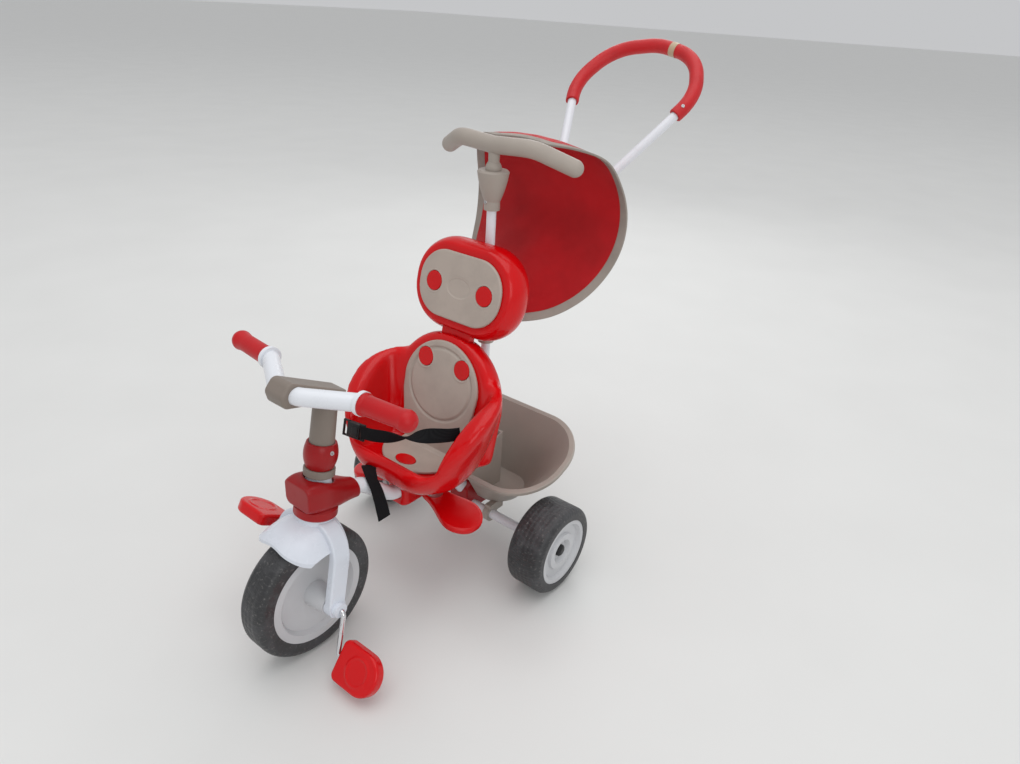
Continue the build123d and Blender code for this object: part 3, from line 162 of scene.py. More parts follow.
# %% Wires and finishes
class Wire:
    """One output socket of a finish, with Python's sums on it."""

    def __init__(self, finish, socket):
        self.finish = finish
        self.socket = socket

    def sum(self, operation, *values):
        return self.finish.node("Math", {"operation": operation}, list(values))

    def __add__(self, other):
        return self.sum("ADD", self, other)

    def __radd__(self, other):
        return self.sum("ADD", other, self)

    def __sub__(self, other):
        return self.sum("SUBTRACT", self, other)

    def __rsub__(self, other):
        return self.sum("SUBTRACT", other, self)

    def __mul__(self, other):
        return self.sum("MULTIPLY", self, other)

    def __rmul__(self, other):
        return self.sum("MULTIPLY", other, self)

    def __truediv__(self, other):
        return self.sum("DIVIDE", self, other)

    def __pow__(self, other):
        return self.sum("POWER", self, other)


class Finish:
    """A material made of one Principled surface and what is wired into it."""

    def __init__(self, name):
        self.material = bpy.data.materials.new(name)
        self.material.use_nodes = True
        self.tree = self.material.node_tree
        self.surface = self.tree.nodes["Principled BSDF"]
        self.place = self.node("TexCoord", {}, {}, out=3)

    def feed(self, socket, value):
        if isinstance(value, Wire):
            self.tree.links.new(value.socket, socket)
        elif isinstance(value, tuple) and len(value) == 3 and socket.type == "RGBA":
            socket.default_value = (*value, 1.0)
        else:
            socket.default_value = value

    def node(self, kind, settings, values, out=0):
        """Any node: its settings first, then the values or wires of its sockets."""
        made = self.tree.nodes.new("ShaderNode" + kind)
        for key, setting in settings.items():
            setattr(made, key, setting)
        pairs = values.items() if isinstance(values, dict) else enumerate(values)
        for key, value in pairs:
            self.feed(made.inputs[key], value)
        return Wire(self, made.outputs[out])

    def noise(self, scale, detail=3.0, rough=0.5, place=None):
        where = {"Vector": place or self.place, "Scale": scale}
        return self.node("TexNoise", {}, {**where, "Detail": detail, "Roughness": rough})

    def cells(self, scale):
        return self.node("TexVoronoi", {}, {"Vector": self.place, "Scale": scale})

    def between(self, value, low, high, to_low=0.0, to_high=1.0):
        """Value stretched from low..high to another range, and held inside it."""
        ends = {"From Min": low, "From Max": high, "To Min": to_low, "To Max": to_high}
        return self.node("MapRange", {}, {"Value": value, **ends})

    def mixed(self, mask, first, second):
        return self.node("Mix", {"data_type": "RGBA"}, {0: mask, 6: first, 7: second}, out=2)

    def axes(self, place=None):
        split = self.node("SeparateXYZ", {}, [place or self.place])
        return [Wire(self, s) for s in split.socket.node.outputs]

    def raise_by(self, height, depth):
        """Bumps the surface by height, which runs from 0 to 1, times depth in metres."""
        bump = self.node("Bump", {}, {"Distance": depth, "Height": height})
        self.feed(self.surface.inputs["Normal"], bump)

    def set(self, **sockets):
        for key, value in sockets.items():
            self.feed(self.surface.inputs[key.replace("_", " ").title()], value)

    def specular(self, amount):
        """How strongly the surface mirrors light straight on: 0.5 is clean plastic."""
        self.surface.inputs["Specular IOR Level"].default_value = amount


finishes = {}

# %% [markdown]
# ## Moulded plastic
#
# Most of the tricycle is injection or blow moulded. A glossy moulding isn't one colour: the
# pigment drifts a little, fine scratches and hand grease dull the gloss in patches, and the skin
# has a faint orange peel. A satin moulding shows the grain of its mould instead, and holds dust
# in it. One function makes both, from the colour, the gloss and the depth of the grain.


# %% Plastics
def shaded(colour, share):
    """The colour, darkened to share of itself."""
    return tuple(c * share for c in colour)


def moulded(name, colour, rough, grain, grain_scale, wear, dust):
    """A moulding: grain is the depth of its skin in metres, and wear and dust are shares."""
    f = Finish(name)
    drift = f.noise(7.0, 4.0)
    patches = f.between(f.noise(26.0, 6.0, 0.62), 0.42, 0.68)
    scratches = f.between(f.noise(60.0, 8.0, 0.75), 0.60, 0.78)
    pale = tuple(c * 0.72 + 0.26 for c in colour)
    body = f.mixed(f.between(drift, 0.3, 0.7), shaded(colour, 0.82), colour)
    dusty = f.mixed(scratches * dust, body, pale)
    f.set(base_color=dusty, roughness=patches * wear + (scratches * (wear * 1.4) + rough))
    f.specular(0.34)
    peel = f.noise(grain_scale, 2.0) * 0.6 + f.noise(grain_scale * 0.12, 2.0) * 0.4
    f.raise_by(peel, grain)
    finishes[name] = f.material


for plastic in (  # name, colour, roughness, depth and scale of the grain, wear, dust
    ("red_gloss", (0.66, 0.001, 0.003), 0.17, 0.00005, 260.0, 0.10, 0.02),
    ("red_satin", (0.52, 0.004, 0.008), 0.36, 0.00010, 1300.0, 0.12, 0.02),
    ("brick_red", (0.33, 0.004, 0.006), 0.28, 0.00008, 1100.0, 0.14, 0.03),
    ("taupe_satin", (0.40, 0.350, 0.305), 0.42, 0.00012, 1500.0, 0.10, 0.10),
    ("taupe_dark", (0.235, 0.195, 0.165), 0.40, 0.00010, 1500.0, 0.10, 0.12),
    ("tub_grey", (0.40, 0.352, 0.310), 0.36, 0.00010, 1200.0, 0.10, 0.12),
    ("pearl_white", (0.70, 0.735, 0.80), 0.22, 0.00005, 300.0, 0.10, 0.02),
    ("disc_grey", (0.58, 0.585, 0.60), 0.36, 0.00008, 1200.0, 0.10, 0.0),
    ("black_plastic", (0.012, 0.012, 0.013), 0.34, 0.00010, 1400.0, 0.10, 0.04),
    ("beige_band", (0.52, 0.40, 0.27), 0.35, 0.00006, 500.0, 0.10, 0.15),
):
    moulded(*plastic)
print("plastics", len(finishes))

# %% [markdown]
# ## Soft vinyl pads
#
# The seat's pads are soft moulded vinyl with a fine leather-like grain: small rounded cells with
# creases between them. Cells give the pebbles, and a little wear greys the high spots. The moulded
# lines are painted into the colour as well: darker in their grooves, as painted shade, and lighter
# along their raised lines, as a painted highlight.


# %% Vinyl
def vinyl(name, colour, rough, rings):
    """Grained vinyl. Each ring is (y, z, half width, half height, wall, rise) of a moulded line."""
    f = Finish(name)
    warp = f.noise(40.0, 2.0)
    pebble = f.between(f.cells(620.0), 0.0, 0.6)
    grime = f.between(f.noise(14.0, 5.0, 0.6), 0.46, 0.74)
    y, z = f.axes()[1:]
    form = pebble * 0.05 + f.noise(160.0, 3.0) * 0.03
    grime_and_line_shade = grime * 0.45
    # The moulded lines are painted into the colour: a groove (rise below 0) darker, as painted
    # shade, and a raised line lighter, as a painted highlight.
    for ring_y, ring_z, half_y, half_z, line, rise in rings:
        side = (y - ring_y) / half_y
        up = (z - ring_z) / half_z
        reach = (side * side + up * up) ** 0.5
        offset = (reach - 1.0) * half_y
        off = offset.sum("ABSOLUTE", offset)
        painted_line_shading = f.between(off, 0.0, line, 1.0, 0.0)
        grime_and_line_shade = grime_and_line_shade + painted_line_shading * (0.35 if rise < 0 else -0.2)
    f.set(
        base_color=f.mixed(grime_and_line_shade, colour, shaded(colour, 0.66)),
        roughness=warp * 0.14 + (grime * 0.10 + rough),
    )
    f.raise_by(form, 0.0022)
    finishes[name] = f.material


recline = math.radians(13.5)  # of the seat's back
seat_height = 0.272  # of the pan's top, where the back's line starts
dot_line = seat_height + 0.177 * math.cos(recline)
head_line = seat_height + 0.322 * math.cos(recline)
dot_ring = (0.0205, 0.0200, 0.0022, 0.5)  # half width to rise of the line round a red dot
back_rings = [
    (0.0, 0.404, 0.076, 0.068, 0.0050, -0.9),
    (-0.046, dot_line, *dot_ring), (0.046, dot_line, *dot_ring),
]
head_rings = [
    (0.0, head_line, 0.0290, 0.0190, 0.0024, 0.5),
    (-0.061, head_line, *dot_ring), (0.061, head_line, *dot_ring),
]
for vinyl_name, vinyl_rings in (("back_vinyl", back_rings), ("head_vinyl", head_rings)):
    vinyl(vinyl_name, (0.43, 0.365, 0.315), 0.40, vinyl_rings)
print("moulded lines", len(back_rings) + len(head_rings), "dots at", rounded((dot_line, head_line)))

# %% [markdown]
# ## Tyres
#
# The tyres are hollow charcoal mouldings: fine grooves run round the tread, and use has polished
# some patches and greyed others. A groove is a wave along the axle, kept to the outer few
# millimetres by the distance from the wheel's centre.


# %% Tyres
tread_foot = 0.012  # how far inside the tyre's radius its tread begins
tread_full = 0.009  # and where it is fully there


def tyre(name, hub, radius):
    """Worn rubber with a grooved tread, for a wheel with its axle through hub along Y."""
    f = Finish(name)
    x, y, z = f.axes()
    across = x - hub.x
    up = z - hub.z
    reach = (across * across + up * up) ** 0.5
    tread = f.between(reach, radius - tread_foot, radius - tread_full)
    ripple = (y * 620.0).sum("SINE", y * 620.0)
    turn = up.sum("ARCTAN2", up, across)
    lug = turn.sum("SINE", turn * 64.0 + (y * 90.0).sum("SINE", y * 90.0) * 2.2)
    blocks = f.between(lug, -0.25, 0.25)
    polished = f.between(f.noise(19.0, 7.0, 0.66), 0.47, 0.62)
    specks = f.between(f.noise(230.0, 3.0), 0.60, 0.72)
    grey = f.mixed(polished * 0.55, (0.028, 0.028, 0.030), (0.085, 0.085, 0.09))
    f.set(
        base_color=f.mixed(specks * 0.5, grey, (0.20, 0.19, 0.18)),
        roughness=polished * 0.22 + 0.40,
    )
    form = tread * (ripple * 0.25 + blocks * 0.5) + f.noise(700.0, 2.0) * 0.15
    f.raise_by(form, 0.0009)
    finishes[name] = f.material


def middle(node):
    """The middle of a node's box and half its height."""
    low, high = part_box(node)
    return (low + high) / 2, (high.z - low.z) / 2


front_hub, front_reach = middle("front_tyre")
rear_hub, rear_reach = middle("rear_tyre_left")
tyre("front_tyre_rubber", front_hub, front_reach)
tyre("rear_tyre_rubber", rear_hub, rear_reach)
print("front hub", rounded(front_hub), "rear hub", rounded(rear_hub))

# %% [markdown]
# ## Metals
#
# The bars are steel tube in thick white powder coat, which levels into a soft gloss with a faint
# ripple. The crank is bright-plated rod; the axle and pins are plain turned steel with fine lines.


# %% Metals
def plated(name, colour, rough, lines):
    """Bright metal. Its grain is drawn finer along Y by lines, as a lathe leaves it."""
    f = Finish(name)
    x, y, z = f.axes()
    stretched = f.node("CombineXYZ", {}, [x, y * lines, z])
    drawn = f.noise(90.0, 4.0, 0.6, stretched)
    spots = f.between(f.noise(120.0, 5.0), 0.62, 0.72)
    f.set(
        base_color=f.mixed(spots * 0.5, colour, shaded(colour, 0.45)), metallic=1.0,
        roughness=drawn * 0.12 + (spots * 0.2 + rough),
    )
    f.raise_by(drawn, 0.00003)
    finishes[name] = f.material


def powder_coat(name, colour):
    """Thick, levelled powder coat, a little rubbed in patches."""
    f = Finish(name)
    ripple = f.noise(420.0, 2.0)
    rubbed = f.between(f.noise(30.0, 6.0, 0.6), 0.55, 0.75)
    f.set(
        base_color=f.mixed(rubbed * 0.25, colour, shaded(colour, 0.78)),
        roughness=rubbed * 0.16 + 0.24,
    )
    f.raise_by(ripple, 0.00006)
    finishes[name] = f.material


plated("bright_plate", (0.74, 0.74, 0.76), 0.12, 1.0)
plated("turned_steel", (0.52, 0.52, 0.53), 0.28, 6.0)
powder_coat("white_coat", (0.74, 0.76, 0.80))
print("finishes so far", len(finishes))

# %% [markdown]
# ## Foam, webbing and cloth
#
# The push grip is closed-cell foam with a skin: matt, with tiny pores. Webbing is woven tape whose
# ribs run across it. The canopy is coated nylon, red through and through: a plain weave so fine
# that it reads as a soft sheen, with creases that wander where it was folded.


# %% Foam and webbing
def foam(name, colour):
    """Matt foam with a skin: its pores are small cells, and hands have dulled it in patches."""
    f = Finish(name)
    pores = f.between(f.cells(900.0), 0.10, 0.30)
    worn = f.between(f.noise(22.0, 5.0, 0.6), 0.45, 0.70)
    f.set(
        base_color=f.mixed(worn * 0.5, colour, shaded(colour, 0.70)),
        roughness=worn * 0.12 + 0.46,
    )
    f.raise_by(pores * 0.6 + f.noise(70.0, 4.0) * 0.4, 0.00030)
    finishes[name] = f.material


def webbing(name, colour, ribs):
    """Woven tape, with this many radians of rib to the metre."""
    f = Finish(name)
    x, y, z = f.axes()
    along = x + y * 0.8 + z * 0.9
    rib = (along * ribs).sum("SINE", along * ribs)
    fuzz = f.noise(900.0, 3.0)
    # painted highlight: the crests of the ribs and the fuzz are drawn lighter than the black tape
    rib_and_fuzz_highlight = tuple(c * 1.5 + 0.004 for c in colour)
    weave = f.between(rib, -1.0, 1.0)
    f.set(base_color=f.mixed(weave * 0.5 + fuzz * 0.2, colour, rib_and_fuzz_highlight), roughness=0.78)
    f.raise_by(weave * 0.7 + fuzz * 0.3, 0.00035)
    f.specular(0.12)
    finishes[name] = f.material


foam("red_foam", (0.56, 0.005, 0.009))
webbing("black_webbing", (0.006, 0.006, 0.007), 1400.0)
print("finishes", sorted(finishes))

# %% [markdown]
# ## Dressing the rigid pieces
#
# A rigid piece with true edges keeps its own solid and takes a finish. Most of what a child
# touches is glossy red or soft taupe, what carries load is white, and the joints between them are
# brick red. The softened mouldings and the soft goods get theirs where they are made, further on.

# %% Finishes on the rigid pieces
wardrobe = {
    "red_gloss": ["neck", "back_dots", "pan_dot", "head_dots"],
    "red_satin": ["grip_left", "grip_right"],
    "brick_red": ["lower_ring", "collar", "rear_bracket", "canopy_clip"],
    "taupe_satin": ["t_handle", "mast_cup", "push_clamp"],
    "taupe_dark": [
        "handlebar_cover_upper", "handlebar_cover_lower", "column_sleeve", "column_spacer",
    ],
    "tub_grey": ["tub"],
    "pearl_white": ["fork", "bearing_dome"],
    "disc_grey": ["front_rim", "rear_rim_left", "rear_rim_right"],
    "front_tyre_rubber": ["front_tyre"],
    "rear_tyre_rubber": ["rear_tyre_left", "rear_tyre_right"],
    "white_coat": [
        "handlebar", "steering_tube", "push_loop", "push_pole",
        "mast_tube", "frame_tube", "axle_tube",
    ],
    "bright_plate": ["crank"],
    "turned_steel": ["rear_axle", "footrest_pins", "push_pin", "steering_shaft"],
    "black_plastic": ["hub_cap_left", "hub_cap_right"],
}
dressed = 0
for finish_name, wearers in wardrobe.items():
    for wearer in wearers:
        piece = nodes[wearer]
        piece.data.materials.clear()
        piece.data.materials.append(finishes[finish_name])
        dressed += 1
print("dressed", dressed, "of", len(nodes))

# %% [markdown]
# ## Softening the mouldings
#
# Blow-moulded plastic has no true edge: every corner is as round as the hot skin was thick. A copy
# of the solid is merged, turned into an even skin of small squares and relaxed a few times, which
# rounds the edges and leaves the broad faces where they were. The solid itself stays as it is.


# %% Softened mouldings
weld = 0.000002  # points of a solid's faces nearer than this are one


def settled(piece):
    """Works the piece's modifiers into its mesh, and gives the mesh."""
    ready = piece.evaluated_get(bpy.context.evaluated_depsgraph_get())
    mesh = bpy.data.meshes.new_from_object(ready)
    piece.modifiers.clear()
    piece.data = mesh
    return mesh


def softened(node, body, cell, passes, finish_name, more=None, stands_for=()):
    """The node's solid, and more if it is given, as a skin of squares cell wide, relaxed."""
    mesh = nodes[node].data.copy()
    form = bmesh.new()
    form.from_mesh(mesh)
    if more is not None:
        extra = bpy.data.meshes.new("extra")
        more.to_mesh(extra)
        more.free()
        form.from_mesh(extra)
    bmesh.ops.remove_doubles(form, verts=form.verts, dist=weld)
    form.to_mesh(mesh)
    form.free()
    piece = bpy.data.objects.new(node + "_skin", mesh)
    scene.collection.objects.link(piece)
    skin = piece.modifiers.new("skin", "REMESH")
    skin.mode = "VOXEL"
    skin.voxel_size = cell
    relax = piece.modifiers.new("relax", "SMOOTH")
    relax.factor = 0.5
    relax.iterations = passes
    skin_mesh = settled(piece)
    skin_mesh.shade_smooth()
    skin_mesh.materials.clear()
    skin_mesh.materials.append(finishes[finish_name])
    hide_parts(node, *stands_for)
    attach(piece, body)
    print(node, "skin faces", len(skin_mesh.polygons))
    return piece


# The pads' places in the seat. Beyond them the wings and the front lip are rolled, and the keel
# under the pan keeps its edges up to where it meets the wings.
pad_foot = Vector((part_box("pan_pad")[0].x - 0.006, 0.0, seat_height))
pad_half = 0.093
pad_arch = 0.130  # up the back to where the back pad's round top begins
pan_lip = 0.251
keel_half = 0.075
keel_low, keel_high = 0.245, 0.268
wing_fade = 0.012  # over this distance the rolled edge sets in
lip_fade = 0.010


def step(value, low, high):
    """0 below low, 1 above high, and smooth between them."""
    share = min(max((value - low) / (high - low), 0.0), 1.0)
    return share * share * (3 - 2 * share)


def edge_weight(place):
    """How far a point of the seat belongs to its rolled edge: 0 under the pads, 1 on the wings."""
    from_foot = place - pad_foot
    up_back = from_foot.z * math.cos(recline) - from_foot.x * math.sin(recline)
    beyond_pad = math.hypot(place.y, max(up_back - pad_arch, 0.0)) - pad_half
    beyond_lip = place.x - pan_lip
    above_keel = step(place.z, keel_low, keel_high) if abs(place.y) < keel_half else 1.0
    on_edge = max(step(beyond_pad, 0.0, wing_fade), step(beyond_lip, 0.0, lip_fade))
    return on_edge * above_keel


def rolled(piece, swell, passes):
    """Swells the edges of the seat's skin and relaxes them until they are as round as a pipe."""
    edge = piece.vertex_groups.new(name="edge")
    for vert in piece.data.vertices:
        weight = edge_weight(vert.co)
        if weight > 0.0:
            edge.add([vert.index], weight, "REPLACE")
    fat = piece.modifiers.new("fat", "DISPLACE")
    fat.vertex_group = "edge"
    fat.strength = swell
    fat.mid_level = 0.0
    relax = piece.modifiers.new("relax", "SMOOTH")
    relax.vertex_group = "edge"
    relax.factor = 0.5
    relax.iterations = passes
    settled(piece).shade_smooth()
    piece.vertex_groups.clear()


seat_skin = softened("seat_shell", "frame", 0.0030, 10, "red_gloss")
softened("headrest_shell", "frame", 0.0030, 8, "red_gloss")
rolled(seat_skin, 0.0035, 55)
softened("head_lug", "frame", 0.0015, 6, "brick_red")

# %% [markdown]
# The two pads are one cover, which bends where the pan meets the back. A small block bridges them
# before the skin is drawn over all three, and the moulded lines are then pressed into its front.


# %% Pads and small mouldings
def block(form, middle, size):
    """Adds a block to the form."""
    stretch = Matrix.Translation(middle) @ Matrix.Diagonal((*size, 1.0))
    bmesh.ops.create_cube(form, size=1.0, matrix=stretch)


pan_and_bend = bmesh.new()
pan_and_bend.from_mesh(nodes["pan_pad"].data)
block(pan_and_bend, (0.1565, 0.0, 0.2762), (0.022, 0.130, 0.0080))
back_skin = softened(
    "back_pad", "frame", 0.0013, 4, "back_vinyl", more=pan_and_bend, stands_for=["pan_pad"]
)
head_skin = softened("head_pad", "frame", 0.0013, 4, "head_vinyl")
for moulding in (
    ("pedal_left", "pedal_left", 0.0013, 5, "red_gloss"),
    ("pedal_right", "pedal_right", 0.0013, 5, "red_gloss"),
    ("footrest_left", "footrest_left", 0.0015, 6, "red_gloss"),
    ("footrest_right", "footrest_right", 0.0015, 6, "red_gloss"),
    ("push_yoke", "push_handle", 0.0013, 6, "brick_red"),
    ("push_knuckle", "push_handle", 0.0013, 5, "taupe_satin"),
):
    softened(*moulding)

pad_front = Vector((math.cos(recline), 0.0, math.sin(recline)))
facing = 0.7  # a point is on the front where its normal has this share of the pad's own


def pressed(piece, rings, depth):
    """Presses the moulded lines of rings into the front of a pad: depth for a rise of one."""
    form = bmesh.new()
    form.from_mesh(piece.data)
    for vert in form.verts:
        if vert.normal.dot(pad_front) < facing:
            continue
        push = 0.0
        for ring_y, ring_z, half_y, half_z, line, rise in rings:
            reach = math.hypot((vert.co.y - ring_y) / half_y, (vert.co.z - ring_z) / half_z)
            off = abs(reach - 1.0) * half_y / line
            if off < 1.0:
                push += rise * (1.0 - off * off) ** 2
        vert.co += pad_front * push * depth
    form.to_mesh(piece.data)
    form.free()


pressed(back_skin, back_rings, 0.0022)
pressed(head_skin, head_rings, 0.0016)
foam_skin = softened("foam_grip", "push_handle", 0.0015, 8, "red_foam")

# %% [markdown]
# ## The floor's finish
#
# A pale, faintly mottled floor keeps the eye on the tricycle and takes its soft shadow.

# %% Floor finish
floor_paint = Finish("floor_paint")
mottle = floor_paint.noise(3.0, 3.0)
floor_paint.set(
    base_color=floor_paint.mixed(mottle, (0.66, 0.66, 0.645), (0.71, 0.71, 0.695)), roughness=0.6
)
floor.data.materials.append(floor_paint.material)
print("floor paint nodes", len(floor_paint.tree.nodes))

# %% [markdown]
# ## The canopy
#
# The canopy is one sheet of red nylon, scooped like a shell. Its edge is bound with taupe tape and
# held out by a springy rim; on the centre plane it bellies away from the rim at the back and is
# drawn in under its middle, where it passes over the push pole. A grid is the natural start: its
# columns become ribs across the sheet, each an arc through its two ends on the rim and its middle,
# and the ribs are joined by smooth curves, so the sheet has no flat panels.

# %% Canopy ribs
canopy_ribs = (  # angle round the canopy's centre, half width, reach at the rim and in the middle
    (113, 0.060, 0.1692, 0.1742), (122, 0.112, 0.1772, 0.1912), (133, 0.152, 0.1812, 0.2002),
    (150, 0.172, 0.1732, 0.2012), (170, 0.180, 0.1702, 0.1812), (190, 0.179, 0.1652, 0.1492),
    (212, 0.167, 0.1582, 0.1272), (234, 0.142, 0.1592, 0.1272), (252, 0.104, 0.1672, 0.1412),
    (268, 0.056, 0.1692, 0.1652),
)
canopy_centre = Vector((rear_hub.x - 0.060, 0.0, 0.680))
straight = 0.0004  # a rib that rises less than this isn't worth an arc


def smooth_through(rows, t):
    """The rows' values at t from 0 to 1, on a smooth curve through all of them."""
    span = t * (len(rows) - 1)
    i = min(int(span), len(rows) - 2)
    u = span - i
    before = rows[max(i - 1, 0)]
    after = rows[min(i + 2, len(rows) - 1)]
    values = []
    for a, b, c, d in zip(before, rows[i], rows[i + 1], after):
        cubic = 3 * (b - c) + d - a
        square = 2 * a - 5 * b + 4 * c - d
        values.append(b + 0.5 * u * (c - a + u * (square + u * cubic)))
    return values


def canopy_point(t, s, out=0.0):
    """A point out off the sheet: t from its top to its bottom, s from -1 to 1 across it."""
    angle, half, rim, crown = smooth_through(canopy_ribs, t)
    # an arc through the two ends and the middle of the rib
    bulge = crown - rim
    if abs(bulge) < straight:
        lift = bulge * (1 - s * s)
    else:
        radius = (half * half + bulge * bulge) / (2 * abs(bulge))
        drop = math.sqrt(max(radius * radius - (half * s) ** 2, 0.0)) - (radius - abs(bulge))
        lift = math.copysign(drop, bulge)
    reach = rim + lift + out
    a = math.radians(angle)
    return canopy_centre + Vector((reach * math.cos(a), half * s, reach * math.sin(a)))


print("canopy ribs", len(canopy_ribs), "top", rounded(canopy_point(0.0, 0.0), 3))

# %% [markdown]
# The ribs only say where the cloth goes. The sheet is a grid fine enough to be smooth, with a chart
# that the weave follows, and shallow creases that die out at its bound edge.


# %% Canopy sheet
def charted_grid(columns, rows, chart_name):
    """A grid from -1 to 1 both ways, with a chart from 0 to 1 both ways."""
    form = bmesh.new()
    bmesh.ops.create_grid(form, x_segments=columns, y_segments=rows, size=1.0)
    chart = form.loops.layers.uv.new(chart_name)
    for face in form.faces:
        for loop in face.loops:
            loop[chart].uv = (loop.vert.co.x * 0.5 + 0.5, loop.vert.co.y * 0.5 + 0.5)
    return form


sheet_columns = 72
sheet_rows = 44
crease_depth = 0.0016
canopy_form = charted_grid(sheet_columns, sheet_rows, "weave")
for vert in canopy_form.verts:
    t = vert.co.x * 0.5 + 0.5
    s = vert.co.y
    inside = (1 - s * s) * math.sin(math.pi * t)
    crease = crease_depth * math.sin(23.0 * t + 5.0 * s) * math.sin(9.0 * s - 4.0 * t)
    vert.co = canopy_point(t, s, crease * inside)
bmesh.ops.recalc_face_normals(canopy_form, faces=canopy_form.faces)
cloth_area = sum(face.calc_area() for face in canopy_form.faces)
canopy_sheet = piece_of("canopy_sheet", canopy_form)
canopy_sheet.data.shade_smooth()
wall = canopy_sheet.modifiers.new("cloth", "SOLIDIFY")
wall.thickness = 0.0008
wall.offset = 0.0
print("canopy cloth", round(cloth_area, 4), "square metres")

# %% [markdown]
# The nylon's weave is two sets of fine waves along the sheet's own chart. Broad soft folds raise
# the cloth, and painted shade takes its red from bright to deep across them; a trace of sheen
# catches the light along them.

# %% Canopy cloth finish
nylon = Finish("red_nylon")
cloth_u, cloth_v = nylon.axes(nylon.node("TexCoord", {}, {}, out=2))[:2]
warp = (cloth_u * 2600.0).sum("SINE", cloth_u * 2600.0)
weft = (cloth_v * 2100.0).sum("SINE", cloth_v * 2100.0)
folds = nylon.noise(5.0, 5.0, 0.6)
shadowed = nylon.between(folds, 0.40, 0.66)
# painted shade: the red goes from bright to deeper where the folds are shadowed
nylon.set(
    base_color=nylon.mixed(shadowed, (0.56, 0.004, 0.009), (0.38, 0.003, 0.006)),
    roughness=nylon.noise(40.0, 4.0) * 0.2 + 0.42,
    sheen_weight=0.04, sheen_roughness=0.4,
)
nylon.specular(0.25)
nylon.raise_by(nylon.between(warp * weft, -1.0, 1.0) * 0.25 + folds * 0.75, 0.0012)
canopy_sheet.data.materials.append(nylon.material)
print("nylon nodes", len(nylon.tree.nodes))
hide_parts("canopy_fabric")
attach(canopy_sheet, "frame")

# %% [markdown]
# ## Pieces swept along a path
#
# The binding, the belt and their like are long and thin, so each is a grid rolled up: its columns
# run along a path and its rows go round a section. The seams close where the grid meets itself.


# %% Swept grids
def finished(name, finish_name, form):
    """The form as a shown piece with its finish."""
    piece = piece_of(name, form)
    piece.data.shade_smooth()
    piece.data.materials.append(finishes[finish_name])
    return piece


seam = 0.00001  # points nearer than this are sewn into one


def swept(name, finish_name, rings, around, place):
    """A grid of rings steps along a path and around steps round it, put where place says."""
    form = charted_grid(rings, around, "along")
    for vert in form.verts:
        vert.co = place(vert.co.x * 0.5 + 0.5, vert.co.y * 0.5 + 0.5)
    bmesh.ops.remove_doubles(form, verts=form.verts, dist=seam)
    bmesh.ops.holes_fill(form, edges=[edge for edge in form.edges if edge.is_boundary], sides=0)
    bmesh.ops.recalc_face_normals(form, faces=form.faces)
    return finished(name, finish_name, form)


def flat_oval(v, half_width, half_thickness):
    """A point of a flat section with round edges, v from 0 to 1 round it, from its far edge."""
    square = 0.45  # the power that takes a circle, at 1, towards a square
    c = math.cos(math.tau * v)
    s = math.sin(math.tau * v)
    across = math.copysign(abs(c) ** square, c) * half_width
    return across, math.copysign(abs(s) ** square, s) * half_thickness


# %% [markdown]
# ## The canopy's binding
#
# Taupe tape is folded over the sheet's edge and the rim cord, and stitched through near its inner
# edge. Its path is the sheet's own edge, relaxed so that it goes round the corners as tape does.

# %% Binding tape
tape = Finish("taupe_tape")
tape_u, tape_v = tape.axes(tape.node("TexCoord", {}, {}, out=2))[:2]
rib = (tape_u * 9000.0).sum("SINE", tape_u * 9000.0)
weave = tape.between(rib, -1.0, 1.0)
inner = tape_v.sum("ABSOLUTE", tape_v - 0.5)
stitch_row = 0.181  # share of the way round the section from its inner edge to the stitches
near_stitch = (inner - stitch_row).sum("ABSOLUTE", inner - stitch_row)
line = tape.between(near_stitch, 0.006, 0.010, 1.0, 0.0)
dash = (tape_u * 480.0).sum("FRACT", tape_u * 480.0)
stitch = line * tape.between(dash, 0.55, 0.62, 1.0, 0.0)
aged = tape.between(tape.noise(12.0, 5.0, 0.6), 0.42, 0.70)
cloth_grey = tape.mixed(aged, (0.36, 0.315, 0.275), (0.27, 0.235, 0.205))
tape.set(
    base_color=tape.mixed(stitch * 0.5, cloth_grey, (0.50, 0.46, 0.42)),
    roughness=aged * 0.1 + 0.62,
)
tape.raise_by(weave * 0.35 + stitch * 0.5 + tape.noise(150.0, 3.0) * 0.3, 0.0007)
finishes["taupe_tape"] = tape.material

end_count = 24  # steps along the sheet's top and its bottom edge
side_count = 130  # and along each side
rim_marks = []  # t and s of each step, right round the sheet
for first, last, count in (
    ((0, -1), (0, 1), end_count), ((0, 1), (1, 1), side_count),
    ((1, 1), (1, -1), end_count), ((1, -1), (0, -1), side_count),
):
    for i in range(count):
        share = i / count
        rim_marks.append(tuple(a + (b - a) * share for a, b in zip(first, last)))
rim_count = len(rim_marks)


def relaxed_round(points, passes=6):
    """A closed line of points, each moved towards its neighbours in every pass."""
    for _ in range(passes):
        points = [
            (points[i - 1] + points[i] * 2 + points[(i + 1) % len(points)]) / 4
            for i in range(len(points))
        ]
    return points


rim_points = relaxed_round([canopy_point(t, s) for t, s in rim_marks])
# the way into the sheet from each point of its edge
rim_inward = relaxed_round([
    canopy_point(t + (0.5 - t) * 0.08, s * 0.9) - canopy_point(t, s) for t, s in rim_marks
])
tape_half = 0.0085
tape_thin = 0.0026  # half its thickness over the rim cord
tape_inset = 0.0040


def tape_place_at(u, v):
    """A point of the folded tape: thick over the rim cord, thin at its inner edge."""
    i = round(u * rim_count) % rim_count
    along = (rim_points[(i + 1) % rim_count] - rim_points[i - 1]).normalized()
    inward = rim_inward[i] - along * rim_inward[i].dot(along)
    inward.normalize()
    outward_face = along.cross(inward)
    across, rise = flat_oval(v, tape_half, tape_thin)
    thin = 0.62 + 0.38 * math.cos(math.tau * v)
    return rim_points[i] + inward * (tape_inset - across) + outward_face * (rise * thin)


